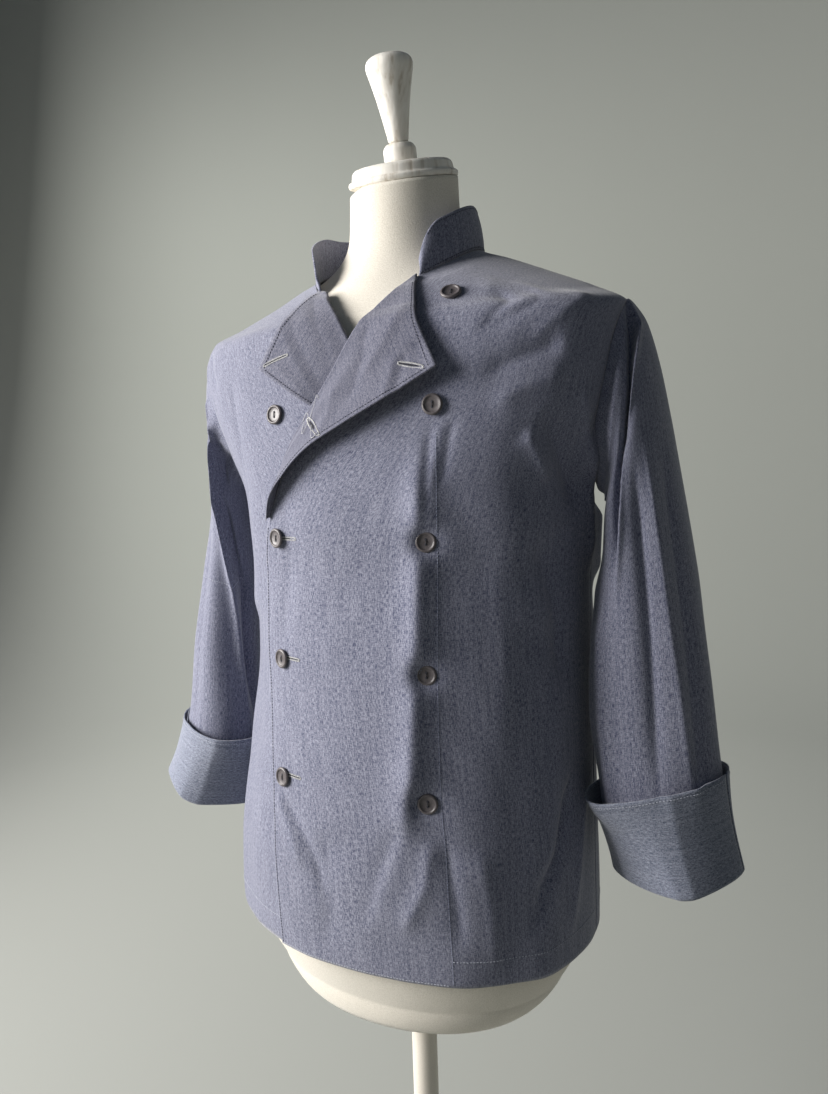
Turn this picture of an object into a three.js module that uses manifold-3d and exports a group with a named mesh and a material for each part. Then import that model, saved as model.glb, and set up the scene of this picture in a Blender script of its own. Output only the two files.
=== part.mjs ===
// A double-breasted chef jacket in blue-grey chambray, with turned-back lapels and cuffs, on a limbless
// dress form with a wooden neck cap and a round stand. Millimetres, +Z up. The jacket faces -Y, +X is
// its wearer's left, and the stand's underside rests on the origin. Heights in tables are from the hem.

import * as THREE from 'three';
import { mergeVertices } from 'three/addons/utils/BufferGeometryUtils.js';
import Module from 'manifold-3d';

// Driving sizes
const HEM_HEIGHT = 700;
const SIDE_NECK = 720;
const CLOTH = 1.6;
const SEAM = 0.5;
const LAY = 1;
const FOLD_GAP = 1.6;
const RIGHT_SHOULDER = { drop: 8, across: 0.2, low: 560, high: 650 };
const HANG_POWER = 1.5;
const ARMHOLE = { height: 569, rise: 86, front: 43, back: 52 };
const NECK_END = -54;
const BREAK_HEIGHT = 444;
const LAPEL_CORNER = 588;
const BUTTON = { radius: 10, thick: 3.4, edge: 1, rim: 1.2, dish: 2.6, deep: 1.4 };
const HOLE_RADIUS = 1.1;
const HOLE_PLACE = 2.2;
const CUFF_START = 0.8;
const BASE_RADIUS = 190;
const BASE_HEIGHT = 24;
const POLE_RADIUS = 15;
const FORM_BOTTOM = -85;
const CAP = { x: 2, y: 12, height: 799, radius: 58, thick: 18, tilt: 13.7 };

// How many steps each piece is drawn with
const BODY_STEPS = 6;
const FOLD_STEPS = 11;
const NECK_STEPS = 3;
const ARM_STEPS = FOLD_STEPS + NECK_STEPS;
const SHOULDER_STEPS = 5;
const FRONT_COLUMNS = 14;
const BACK_COLUMNS = 16;
const SLEEVE_RINGS = 14;
const SLEEVE_SIDES = 22;
const SLEEVE_CROWDING = 1.15;
const CUFF_COLUMNS = 20;
const FORM_SIDES = 26;
const TURNED_SIDES = { cap: 28, finial: 20, base: 40, pole: 16, button: 14, hole: 8 };
const SEARCH_STEPS = 30;
const MERGE_DISTANCE = 1e-4;

function table(columns, rows) {
  return rows.map((row) => Object.fromEntries(columns.map((name, i) => [name, row[i]])));
}

// Level rings of the body: half width, depth before and behind the middle, power of the rounded
// rectangle, how far the front of the ring hangs down, how far it tips forward, and its sideways shift.
const BODY = table(
  ['height', 'half', 'front', 'back', 'middle', 'power', 'dip', 'tip', 'shift'],
  [
    [-85, 150, 118, 112, 0, 2.1, 0, 0, 0],
    [-60, 184, 138, 134, 0, 2.15, 0, 0, 0],
    [0, 208, 155, 150, 0, 2.2, 0, 0, -1],
    [90, 205, 157, 145, -1, 2.2, 0, 0, 1],
    [185, 197, 155, 139, 1, 2.15, 0, 0, 7],
    [300, 190, 153, 134, 4, 2.1, 0, 0, 12],
    [380, 190, 147, 131, 4, 2.1, 0, 0, 11],
    [470, 197, 138, 128, 2, 2.15, 0, 0, 7],
    [520, 215, 131, 127, 1, 2.25, 0, 0, 4],
    [560, 230, 124, 126, 1, 2.35, 0, 0, 2],
    [600, 239, 117, 124, 1, 2.4, 0, 0, 1],
    [635, 241, 111, 119, 1, 2.35, -2, 0, 3],
    [650, 238, 109, 116, 2, 2.3, -8, 0, 6],
    [668, 203, 108, 108, 4, 2.15, -19, 0, 8],
    [690, 155, 108, 96, 8, 2.1, -33, 0, 6],
    [708, 118, 108, 80, 12, 2.05, -44, 0, 1],
    [720, 91, 107, 62, 15, 2, -51, 0, -3],
    [738, 66, 72, 50, 14, 2, -34, 3, 1],
    [760, 60, 60, 56, 12, 2, -10, 10, 2],
    [799, 58, 58, 58, 12, 2, 0, 14, 2],
  ],
);

// The x of the outer front's edge, of the lapel's fold line and of the lapel's free edge, by height.
const FRONT_EDGE = table(
  ['height', 'across'],
  [[0, -93], [130, -97], [220, -104], [320, -109], [400, -107], [444, -97]],
);
const FOLD_LINE = table(
  ['height', 'across'],
  [[444, -97], [493, -75], [522, -60], [554, -38], [589, -15], [622, 4], [646, 20], [664, 36], [684, 52]],
);
const LAPEL_EDGE = table(
  ['height', 'across'],
  [[444, -97], [470, -84], [493, -62], [517, -34], [539, 7], [563, 52], [588, 95]],
);

// Soft folds that stand out of the body: where they run, how wide they are in degrees, how far they
// stand out and how many degrees they lean for each 100 mm of height.
const DRAPES = table(
  ['turn', 'low', 'high', 'width', 'out', 'lean'],
  [
    [-60, -20, 260, 11, 3, 3],
    [-34, -20, 330, 9, 5, 2],
    [-126, -20, 240, 11, 2, -2],
    [-148, -20, 330, 9, 5, -2],
    [35, -20, 320, 7, 5, -2],
    [66, -20, 240, 7, 4, 1],
    [95, -20, 300, 7, 4, 0],
    [128, -20, 230, 7, 4, 1],
    [152, -20, 330, 7, 5, 2],
    [-30, 330, 560, 10, 5, -12],
    [-150, 330, 560, 10, 5, 12],
  ],
);

// Sleeve sections, left and right: the outer and inner points of each ring, its middle and half depth
// front to back, the power of its rounded section, and how far x leans for each millimetre of depth.
const SLEEVE_COLUMNS = [
  'travel', 'outer', 'outerZ', 'inner', 'innerZ', 'middle', 'deep', 'power', 'lean',
];
const LEFT_SLEEVE = table(
  SLEEVE_COLUMNS,
  [
    [0, 243, 655, 207, 483, 5, 47, 2, 0],
    [0.05, 252, 643, 213, 480, 4, 50, 2, 0],
    [0.12, 262, 618, 222, 474, 3, 53, 2, 0],
    [0.2, 271, 582, 224, 462, 2, 54, 2, 0.05],
    [0.3, 280, 530, 222, 436, 0, 55, 2, 0.1],
    [0.4, 291, 467, 220, 396, -2, 55, 2, 0.1],
    [0.52, 304, 392, 218, 346, -4, 54, 2, 0.1],
    [0.65, 318, 302, 215, 274, -6, 51, 2, 0.1],
    [0.8, 331, 201, 218, 170, -10, 48, 2, 0.1],
    [0.88, 338, 160, 221, 136, -11, 50, 1.7, 0],
    [1, 351, 107, 230, 86, -12, 56, 1.42, -0.15],
  ],
);
const RIGHT_SLEEVE = table(
  SLEEVE_COLUMNS,
  [
    [0, 236, 655, 205, 483, 5, 47, 2, 0],
    [0.05, 249, 641, 213, 479, 7, 46, 2, 0],
    [0.12, 256, 613, 219, 470, 9, 44, 2, 0],
    [0.2, 256, 576, 220, 455, 12, 44, 2, 0],
    [0.3, 260, 522, 221, 428, 14, 43, 2, 0],
    [0.4, 264, 460, 221, 392, 14, 44, 2, 0],
    [0.52, 280, 386, 224, 346, 11, 45, 2, 0.05],
    [0.65, 298, 298, 228, 272, 5, 46, 2, 0.1],
    [0.8, 315, 190, 222, 170, -4, 46, 2, 0.1],
    [0.88, 328, 154, 222, 132, -8, 48, 1.7, 0],
    [1, 347, 114, 228, 82, -10, 54, 1.48, -0.1],
  ],
);

// Sleeve folds: angle around the sleeve (0 outer, 90 back, 180 inner, 270 front), the stretch of the
// sleeve they cover, their width in degrees, and how far they stand out, less than 0 for a trough.
const SLEEVE_FOLDS = table(
  ['around', 'from', 'to', 'width', 'out'],
  [
    [248, 0.06, 0.5, 20, -12],
    [285, 0.06, 0.55, 16, 5],
    [110, 0.1, 0.6, 20, -8],
    [30, 0.3, 0.8, 22, -4],
  ],
);
const FOLD_FADE = { start: 0.1, end: 0.2 };

// How far the form lies inside the cloth: it carries the jacket on the shoulders.
const EASE = table(
  ['height', 'gap'],
  [[-85, 12], [0, 12], [200, 16], [420, 16], [560, 10], [620, 7], [655, 3], [690, 1.9], [720, 1.9]],
);

// The rows of buttons: height above the hem, distance from the middle, and how far their cloth lets
// them sink in.
const BUTTON_ROWS = table(
  ['name', 'height', 'across', 'seat'],
  [['5', 185, 82, 0], ['4', 308, 82, -0.8], ['3', 432, 82, 0], ['2', 556, 88, 0], ['1', 661, 94, -0.3]],
);

const radians = THREE.MathUtils.degToRad;
const degrees = THREE.MathUtils.radToDeg;
const mix = THREE.MathUtils.lerp;
const soften = THREE.MathUtils.smoothstep;
const spread = (steps) => Array.from({ length: steps + 1 }, (_, i) => i / steps);

// A value between a table's rows: a smooth curve that never swings past them.
function read(rows, column, at) {
  const key = Object.keys(rows[0])[0];
  const last = rows.length - 1;
  const place = THREE.MathUtils.clamp(at, rows[0][key], rows[last][key]);
  const slope = (i) => (rows[i + 1][column] - rows[i][column]) / (rows[i + 1][key] - rows[i][key]);
  const tangent = (i) => {
    if (i === 0 || i === last) return slope(Math.min(i, last - 1));
    const before = slope(i - 1);
    const after = slope(i);
    return before * after <= 0 ? 0 : (2 * before * after) / (before + after);
  };
  let row = 0;
  while (row < last - 1 && place > rows[row + 1][key]) row += 1;
  const span = rows[row + 1][key] - rows[row][key];
  const t = (place - rows[row][key]) / span;
  const rest = 1 - t;
  return rows[row][column] * (1 + 2 * t) * rest * rest
    + rows[row + 1][column] * (3 - 2 * t) * t * t
    + span * t * rest * (tangent(row) * rest - tangent(row + 1) * t);
}

const signedPower = (value, power) => Math.sign(value) * Math.abs(value) ** power;

// A point of the bare body. Turn 0 is the wearer's left side, -90 the centre front, 90 the back.
function ringPoint(turn, height) {
  const across = Math.cos(radians(turn));
  const along = Math.sin(radians(turn));
  const round = 2 / read(BODY, 'power', height);
  const depth = read(BODY, along < 0 ? 'front' : 'back', height);
  const { drop, across: inner, low, high } = RIGHT_SHOULDER;
  const hang = read(BODY, 'dip', height) * Math.max(0, -along) ** HANG_POWER
    - drop * soften(-across, inner, 1) * soften(height, low, high);
  return new THREE.Vector3(
    read(BODY, 'half', height) * signedPower(across, round) + read(BODY, 'shift', height),
    read(BODY, 'middle', height) + depth * signedPower(along, round),
    HEM_HEIGHT + height + hang + read(BODY, 'tip', height) * along,
  );
}

// How far an angle is turned from another one, between -180 and 180.
const turnedFrom = (angle, start) => THREE.MathUtils.euclideanModulo(angle - start + 180, 360) - 180;

// The direction out of a surface given by a function of two values.
function outward(surface, a, b, stepA, stepB) {
  const alongA = surface(a + stepA, b).sub(surface(a - stepA, b));
  const alongB = surface(a, b + stepB).sub(surface(a, b - stepB));
  return alongA.cross(alongB).normalize();
}

const TURN_STEP = 0.6;
const HEIGHT_STEP = 1.5;
const bodyOutward = (turn, height) => outward(ringPoint, turn, height, TURN_STEP, HEIGHT_STEP);

const DRAPE_FADE = { low: 30, high: 130 };
function drapeAt(turn, height) {
  return DRAPES.reduce((sum, fold) => {
    const middle = fold.turn + fold.lean * (height - fold.low) / 100;
    const side = (turn - middle) / fold.width;
    const rise = soften(height, fold.low, fold.low + DRAPE_FADE.low);
    const end = 1 - soften(height, fold.high - DRAPE_FADE.high, fold.high);
    return sum + fold.out * Math.exp(-side * side) * rise * end;
  }, 0);
}

// A point of the jacket's cloth, moved out of the body's surface.
function clothPoint(turn, height, out) {
  const lift = out + drapeAt(turn, height);
  return ringPoint(turn, height).addScaledVector(bodyOutward(turn, height), lift);
}

// The spot, as turn and height, where the front of the body has the given x and height.
function spotAt(x, height) {
  const turnAt = (level) => {
    const across = (x - read(BODY, 'shift', level)) / read(BODY, 'half', level);
    const bounded = THREE.MathUtils.clamp(across, -1, 1);
    return -degrees(Math.acos(signedPower(bounded, read(BODY, 'power', level) / 2)));
  };
  let low = 0;
  let high = SIDE_NECK;
  for (let i = 0; i < SEARCH_STEPS; i += 1) {
    const level = (low + high) / 2;
    if (ringPoint(turnAt(level), level).z - HEM_HEIGHT < height) low = level;
    else high = level;
  }
  return { turn: turnAt(low), height: low };
}

// The turn of a ring at a distance before (-1) or behind (1) the side line, on one side of the body.
function sideTurn(height, distance, facing, side) {
  const depth = read(BODY, facing < 0 ? 'front' : 'back', height);
  const turn = facing * degrees(Math.asin((distance / depth) ** (read(BODY, 'power', height) / 2)));
  return side > 0 ? turn : Math.sign(facing) * 180 - turn;
}

// The spot on the armhole at an angle from its lowest point, moved into the hole by a margin.
function armholeSpot(angle, facing, side, margin) {
  const height = ARMHOLE.height - (ARMHOLE.rise - margin) * Math.cos(angle);
  const deep = facing < 0 ? ARMHOLE.front : ARMHOLE.back;
  const distance = Math.max(SEAM / 2, (deep - margin) * Math.sin(angle));
  return { turn: sideTurn(height, distance, facing, side), height };
}

// Triangles between two grids of points, an outer and an inner face, with rims round the open edges.
function wallGeometry(outer, inner, closed = false) {
  const rows = outer.length;
  const columns = outer[0].length;
  const points = [...outer.flat(), ...inner.flat()];
  const index = (face, row, column) => face * rows * columns + row * columns + (column % columns);
  const triangles = [];
  const quad = (a, b, c, d) => triangles.push(a, b, c, a, c, d);
  const across = closed ? columns : columns - 1;
  for (let row = 0; row < rows - 1; row += 1) {
    for (let column = 0; column < across; column += 1) {
      const corners = [[row, column], [row, column + 1], [row + 1, column + 1], [row + 1, column]];
      const [start, next, far, above] = corners.map(([i, j]) => index(0, i, j));
      const under = rows * columns;
      quad(start, next, far, above);
      quad(start + under, above + under, far + under, next + under);
    }
    if (closed) continue;
    quad(index(0, row, 0), index(0, row + 1, 0), index(1, row + 1, 0), index(1, row, 0));
    const end = columns - 1;
    quad(index(0, row + 1, end), index(0, row, end), index(1, row, end), index(1, row + 1, end));
  }
  const top = rows - 1;
  for (let column = 0; column < across; column += 1) {
    const next = column + 1;
    quad(index(0, 0, next), index(0, 0, column), index(1, 0, column), index(1, 0, next));
    quad(index(0, top, column), index(0, top, next), index(1, top, next), index(1, top, column));
  }
  return closedGeometry(points, triangles);
}

// A geometry from points and triangles, turned inside out where its volume comes out below zero.
function closedGeometry(points, triangles) {
  let volume = 0;
  for (let i = 0; i < triangles.length; i += 3) {
    const [a, b, c] = [0, 1, 2].map((k) => points[triangles[i + k]]);
    volume += a.dot(b.clone().cross(c));
  }
  const geometry = new THREE.BufferGeometry().setFromPoints(points);
  geometry.setIndex(volume < 0 ? triangles.reverse() : triangles);
  geometry.computeVertexNormals();
  return geometry;
}

const clothMaterial = new THREE.MeshStandardMaterial({ color: 0x6a7288, roughness: 0.9, metalness: 0 });
const insideMaterial = new THREE.MeshStandardMaterial({ color: 0x5c647c, roughness: 0.9, metalness: 0 });
const buttonMaterial = new THREE.MeshStandardMaterial({ color: 0x5b5557, roughness: 0.4, metalness: 0 });
const formMaterial = new THREE.MeshStandardMaterial({ color: 0xd8cfbf, roughness: 0.85, metalness: 0 });
const woodMaterial = new THREE.MeshStandardMaterial({ color: 0xd9d3c8, roughness: 0.6, metalness: 0 });
const standMaterial = new THREE.MeshStandardMaterial({ color: 0xcfc8bc, roughness: 0.5, metalness: 0 });

function piece(name, geometry, material) {
  const mesh = new THREE.Mesh(geometry, material);
  mesh.name = name;
  return mesh;
}

// Jacket back: from side seam to side seam, cut out at both armholes, up to the shoulder seams and neck.
function backPanel() {
  const edge = (side) => {
    const seam = (height) => ({ turn: sideTurn(height, SEAM / 2, 1, side), height });
    const armBottom = ARMHOLE.height - ARMHOLE.rise;
    const armTop = ARMHOLE.height + ARMHOLE.rise;
    return [
      ...spread(BODY_STEPS).slice(0, -1).map((t) => seam(mix(0, armBottom, t))),
      ...spread(ARM_STEPS).map((t) => armholeSpot(Math.PI * t, 1, side, 0)),
      ...spread(SHOULDER_STEPS).slice(1).map((t) => seam(mix(armTop, SIDE_NECK, t))),
    ];
  };
  return panelWall(edge(1), edge(-1), BACK_COLUMNS, () => 0);
}

// A wall between two lists of spots, its outer face at outAt and its inner face a cloth's width below.
function panelWall(first, second, columns, outAt) {
  const face = (depth) => first.map((spot, i) => spread(columns).map((t) => {
    const turn = mix(spot.turn, second[i].turn, t);
    const height = mix(spot.height, second[i].height, t);
    return clothPoint(turn, height, outAt(turn, height) - depth);
  }));
  return wallGeometry(face(0), face(CLOTH));
}

// The outer front lies over the inner one and, below the lapels' crossing, over its folded lapel too.
const OVERLAP = { full: -40, none: -14, low: 625, high: 675 };
const FOLDED = { low: 390, high: 450, layers: 1.8 };
function outerLap(turn, height) {
  const overlap = 1 - soften(turn, OVERLAP.full, OVERLAP.none);
  const single = 1 - soften(height, OVERLAP.low, OVERLAP.high);
  const folded = soften(height, FOLDED.low, FOLDED.high) * single;
  return overlap * (LAY + CLOTH) * (single + folded * FOLDED.layers);
}

// The inner front sinks a little where the outer one hides it.
const SINK = { depth: 2.5, near: 4, far: 30 };
function innerLap(turn, height) {
  const spot = ringPoint(turn, height);
  const level = spot.z - HEM_HEIGHT;
  const edge = level < BREAK_HEIGHT ? read(FRONT_EDGE, 'across', level) : read(FOLD_LINE, 'across', level);
  return -SINK.depth * soften(spot.x - edge, SINK.near, SINK.far);
}

// The spot on a lapel line at a part of its length, shifted a little into the panel.
function lineSpot(line, part, side, shift) {
  const top = line[line.length - 1].height;
  const height = mix(BREAK_HEIGHT, top, part);
  return spotAt(side * (read(line, 'across', height) + shift), height);
}

const SHOULDER_TURN = -0.1;
const FOLD_SEAM = 0.7;
// A jacket front: from its edge, the lapel's fold line and the neckline to the side seam, the armhole
// and the shoulder seam. Side 1 is the outer front, with the wearer's left shoulder.
function frontPanel(side, outAt) {
  const neckTurn = (t) => {
    const turn = mix(NECK_END, SHOULDER_TURN, t);
    return side > 0 ? turn : -180 - turn;
  };
  const opening = [
    ...spread(BODY_STEPS).slice(0, -1).map((t) => {
      const height = mix(0, BREAK_HEIGHT, t);
      return spotAt(side * read(FRONT_EDGE, 'across', height), height);
    }),
    ...spread(FOLD_STEPS).map((t) => lineSpot(FOLD_LINE, t, side, FOLD_SEAM)),
    ...spread(NECK_STEPS).slice(1).map((t) => ({ turn: neckTurn(t), height: SIDE_NECK })),
  ];
  const armBottom = ARMHOLE.height - ARMHOLE.rise;
  const outside = [
    ...spread(BODY_STEPS).slice(0, -1).map((t) => {
      const height = mix(0, armBottom, t);
      return { turn: sideTurn(height, SEAM / 2, -1, side), height };
    }),
    ...spread(ARM_STEPS).map((t) => armholeSpot(Math.PI * t, -1, side, 0)),
  ];
  return panelWall(opening, outside, FRONT_COLUMNS, outAt);
}

// A lapel: it curls round the fold line and lies on its front, with its free edge standing off.
const CURL_STEPS = 4;
const LAPEL_COLUMNS = 5;
const LAPEL_LIFT = { 1: 9, '-1': 3 };
const LAPEL_START = 0.04;
const LAPEL_ROLL = { out: 3, width: 0.35 };
const LAPEL_CLEAR = { 1: { start: 0, end: 0.3 }, '-1': { start: 0.7, end: 0.85 } };
const LINE_STEP = 0.01;
const RIGHT_CORNER = { across: 6, height: 12 };
function lapel(side, outAt) {
  const middleRadius = (FOLD_GAP + CLOTH) / 2;
  const row = (part, face) => {
    const fold = lineSpot(FOLD_LINE, part, side, 0);
    const ahead = lineSpot(FOLD_LINE, Math.min(1, part + LINE_STEP), side, 0);
    const behind = lineSpot(FOLD_LINE, Math.max(0, part - LINE_STEP), side, 0);
    const base = outAt(fold.turn, fold.height);
    const along = ringPoint(ahead.turn, ahead.height).sub(ringPoint(behind.turn, behind.height));
    const normal = bodyOutward(fold.turn, fold.height);
    const away = along.normalize().cross(normal).multiplyScalar(-side).normalize();
    const centre = clothPoint(fold.turn, fold.height, base - CLOTH / 2 + middleRadius);
    const radius = middleRadius + (1 / 2 - face) * CLOTH;
    const curl = spread(CURL_STEPS).map((t) => centre.clone()
      .addScaledVector(normal, -radius * Math.cos(Math.PI * t))
      .addScaledVector(away, radius * Math.sin(Math.PI * t)));
    const foldHeight = mix(BREAK_HEIGHT, FOLD_LINE[FOLD_LINE.length - 1].height, part);
    const freeHeight = mix(BREAK_HEIGHT, LAPEL_CORNER, part);
    const shift = side > 0 ? 0 : part * part;
    const flat = spread(LAPEL_COLUMNS).slice(1).map((t) => {
      const free = read(LAPEL_EDGE, 'across', freeHeight) + RIGHT_CORNER.across * shift;
      const x = side * mix(read(FOLD_LINE, 'across', foldHeight), free, t);
      const spot = spotAt(x, mix(foldHeight, freeHeight + RIGHT_CORNER.height * shift, t));
      const clear = soften(part, LAPEL_CLEAR[side].start, LAPEL_CLEAR[side].end);
      const lift = (LAPEL_ROLL.out * soften(t, 0, LAPEL_ROLL.width) + LAPEL_LIFT[side] * t * t) * clear;
      const out = outAt(spot.turn, spot.height) + FOLD_GAP + (1 - face) * CLOTH + lift;
      return clothPoint(spot.turn, spot.height, out);
    });
    return [...curl, ...flat];
  };
  const parts = spread(FOLD_STEPS).map((t) => Math.max(LAPEL_START, t));
  return wallGeometry(parts.map((part) => row(part, 0)), parts.map((part) => row(part, 1)));
}

// The standing collar: a band round the neckline with rounded front ends.
const COLLAR_ROWS = 3;
const COLLAR_INSET = 3;
const COLLAR_ROUND = 15;
const COLLAR_END = 0.12;
const COLLAR_THICK = 2;
const COLLAR_STEP = 0.02;
const COLLAR_SHAPE = table(
  ['turn', 'height', 'lean'],
  [[-51, 45, 6], [0, 45, 8], [90, 45, 1], [180, 42, -1], [231, 38, -4]],
);
function collar() {
  const start = NECK_END + COLLAR_INSET;
  const turns = [
    ...spread(NECK_STEPS).slice(0, -1).map((t) => mix(start, 0, t)),
    ...spread(BACK_COLUMNS).map((t) => 180 * t),
    ...spread(NECK_STEPS).slice(1).map((t) => mix(180, 180 - start, t)),
  ];
  const heightAt = (turn) => {
    const end = Math.min(turn - start, 180 - start - turn);
    const part = THREE.MathUtils.clamp(end / COLLAR_ROUND, 0, 1);
    return read(COLLAR_SHAPE, 'height', turn) * Math.sqrt(mix(COLLAR_END, 1, 1 - (1 - part) ** 2));
  };
  const surface = (turn, part) => {
    const base = clothPoint(turn, SIDE_NECK, 0);
    const inward = new THREE.Vector3(-base.x, CAP.y - base.y, 0).normalize();
    base.z += SEAM + heightAt(turn) * part;
    return base.addScaledVector(inward, read(COLLAR_SHAPE, 'lean', turn) * part * part);
  };
  const face = (depth) => spread(COLLAR_ROWS).map((part) => turns.map((turn) => {
    const out = outward(surface, turn, part, TURN_STEP, COLLAR_STEP);
    return surface(turn, part).addScaledVector(out.setZ(0).normalize(), -depth);
  }));
  return wallGeometry(face(0), face(COLLAR_THICK));
}

// A point of a sleeve's outer face; side -1 mirrors it to the wearer's right arm.
const ARM_BLEND = { start: -0.02, end: 0.09 };
function sleevePoint(sections, side, around, travel) {
  const angle = radians(around);
  const column = (name) => read(sections, name, travel);
  const round = 2 / column('power');
  const across = signedPower(Math.cos(angle), round);
  const back = signedPower(Math.sin(angle), round) * column('deep');
  const point = new THREE.Vector3(
    mix(column('inner'), column('outer'), (1 + across) / 2) + column('lean') * back,
    column('middle') + back,
    HEM_HEIGHT + mix(column('innerZ'), column('outerZ'), (1 + across) / 2),
  );
  point.x *= side;
  const facing = Math.sin(angle) < 0 ? -1 : 1;
  const fromBottom = Math.PI - Math.acos(THREE.MathUtils.clamp(Math.cos(angle), -1, 1));
  const spot = armholeSpot(fromBottom, facing, side, SEAM);
  const seam = clothPoint(spot.turn, spot.height, -CLOTH / 2);
  const relief = SLEEVE_FOLDS.reduce((sum, fold) => {
    const bell = Math.exp(-((turnedFrom(around, fold.around) / fold.width) ** 2));
    const start = soften(travel, fold.from, fold.from + FOLD_FADE.start);
    const end = 1 - soften(travel, fold.to - FOLD_FADE.end, fold.to);
    return sum + fold.out * bell * start * end;
  }, 0);
  const middle = new THREE.Vector3(
    side * (column('inner') + column('outer')) / 2,
    column('middle'),
    HEM_HEIGHT + (column('innerZ') + column('outerZ')) / 2,
  );
  const outwards = point.clone().sub(middle).normalize();
  point.addScaledVector(outwards, relief);
  return seam.lerp(point, soften(travel, ARM_BLEND.start, ARM_BLEND.end));
}

// A point moved out of a sleeve's surface.
const TRAVEL_STEP = 0.006;
const AROUND_STEP = 2;
function sleeveOut(sections, side, around, travel, out) {
  const surface = (a, t) => sleevePoint(sections, side, a, t);
  const place = THREE.MathUtils.clamp(travel, TRAVEL_STEP, 1 - TRAVEL_STEP);
  const normal = outward(surface, around, place, AROUND_STEP, TRAVEL_STEP).multiplyScalar(-side);
  return surface(around, travel).addScaledVector(normal, out);
}

// A sleeve: a tube from the armhole to the turn of its cuff.
const SLEEVE_END = 0.985;
function sleeve(sections, side) {
  const stations = spread(SLEEVE_RINGS).map((t) => SLEEVE_END * t ** SLEEVE_CROWDING);
  const angles = spread(SLEEVE_SIDES).slice(0, -1).map((t) => 360 * t);
  const face = (depth) => stations.map((travel) => angles
    .map((around) => sleeveOut(sections, side, around, travel, -depth)));
  return wallGeometry(face(0), face(CLOTH), true);
}

// A turned-back cuff: an open band that stands off the sleeve at its top, turns under the sleeve's end
// and goes a little way up inside it.
const CUFF_SLIT = 352;
const CUFF_GAP = 3;
const CUFF_STAND = 4;
const CUFF_BULGE = { around: 228, width: 42, out: 13 };
const CUFF_LEG = 0.06;
const CUFF_PARTS = { leg: [1, 0.7, 0.35, 0.08], inside: [0.5, 1], turnSteps: 3 };
function cuff(sections, side) {
  const angles = spread(CUFF_COLUMNS).map((t) => CUFF_SLIT + CUFF_GAP / 2 + (360 - CUFF_GAP) * t);
  const centreOut = -CLOTH / 2;
  const turnRadius = CLOTH + LAY;
  const standAt = (around, part) => {
    const turned = turnedFrom(around, CUFF_BULGE.around) / CUFF_BULGE.width;
    return (CUFF_STAND + CUFF_BULGE.out * Math.exp(-turned * turned)) * part * part;
  };
  const point = (around, travel, out) => sleeveOut(sections, side, around, travel, out);
  const row = (build) => angles.map((around) => build(around));
  const face = (depth) => {
    const radius = turnRadius + CLOTH / 2 - depth;
    const leg = CUFF_PARTS.leg.map((part) => row((around) => point(
      around, mix(1, CUFF_START, part), centreOut + radius + standAt(around, part),
    )));
    const turn = spread(CUFF_PARTS.turnSteps).map((t) => row((around) => {
      const end = point(around, 1, 0);
      const normal = point(around, 1, 1).sub(end);
      const above = sleevePoint(sections, side, around, 1 - TRAVEL_STEP);
      const down = end.clone().sub(above).normalize();
      return end.addScaledVector(normal, centreOut + radius * Math.cos(Math.PI * t))
        .addScaledVector(down, radius * Math.sin(Math.PI * t));
    }));
    const inside = CUFF_PARTS.inside.map((part) => row((around) => point(
      around, 1 - CUFF_LEG * part, centreOut - radius,
    )));
    return [...leg, ...turn, ...inside];
  };
  return wallGeometry(face(0), face(CLOTH));
}

const wasm = await Module();
wasm.setup();

function toSolid(geometry) {
  const bare = geometry.clone().deleteAttribute('normal').deleteAttribute('uv');
  const merged = mergeVertices(bare, MERGE_DISTANCE);
  return new wasm.Manifold(new wasm.Mesh({
    numProp: 3,
    vertProperties: merged.attributes.position.array,
    triVerts: new Uint32Array(merged.index.array),
  }));
}

function fromSolid(solid) {
  const mesh = solid.getMesh();
  const geometry = new THREE.BufferGeometry();
  geometry.setAttribute('position', new THREE.BufferAttribute(mesh.vertProperties, 3));
  geometry.setIndex(new THREE.BufferAttribute(mesh.triVerts, 1));
  geometry.computeVertexNormals();
  return geometry;
}

const lathe = (profile, sides) => new THREE.LatheGeometry(
  profile.map(([radius, up]) => new THREE.Vector2(radius, up)), sides,
).rotateX(Math.PI / 2);

// A two-hole button with a raised rim and a dished middle.
function buttonGeometry() {
  const { radius, thick, edge, rim, dish, deep } = BUTTON;
  const disc = toSolid(lathe([
    [0, 0], [radius - edge, 0], [radius, edge], [radius, thick - edge],
    [radius - rim, thick], [radius - dish, thick - edge], [0, thick - deep],
  ], TURNED_SIDES.button));
  return fromSolid([-HOLE_PLACE, HOLE_PLACE].reduce((solid, place) => {
    const hole = new THREE.CylinderGeometry(HOLE_RADIUS, HOLE_RADIUS, 4 * thick, TURNED_SIDES.hole)
      .rotateX(Math.PI / 2).translate(0, place, 0);
    return solid.subtract(toSolid(hole));
  }, disc));
}

// A button sewn on a front, seated just clear of its cloth and facing out of it.
function button(name, geometry, x, height, seat, outAt) {
  const spot = spotAt(x, height);
  const normal = bodyOutward(spot.turn, spot.height);
  const side = new THREE.Vector3(0, 0, 1).cross(normal).normalize();
  const mesh = piece(name, geometry, buttonMaterial);
  mesh.quaternion.setFromRotationMatrix(
    new THREE.Matrix4().makeBasis(side, normal.clone().cross(side), normal),
  );
  const out = outAt(spot.turn, spot.height) + SEAM + seat;
  mesh.position.copy(clothPoint(spot.turn, spot.height, out));
  return mesh;
}

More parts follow.
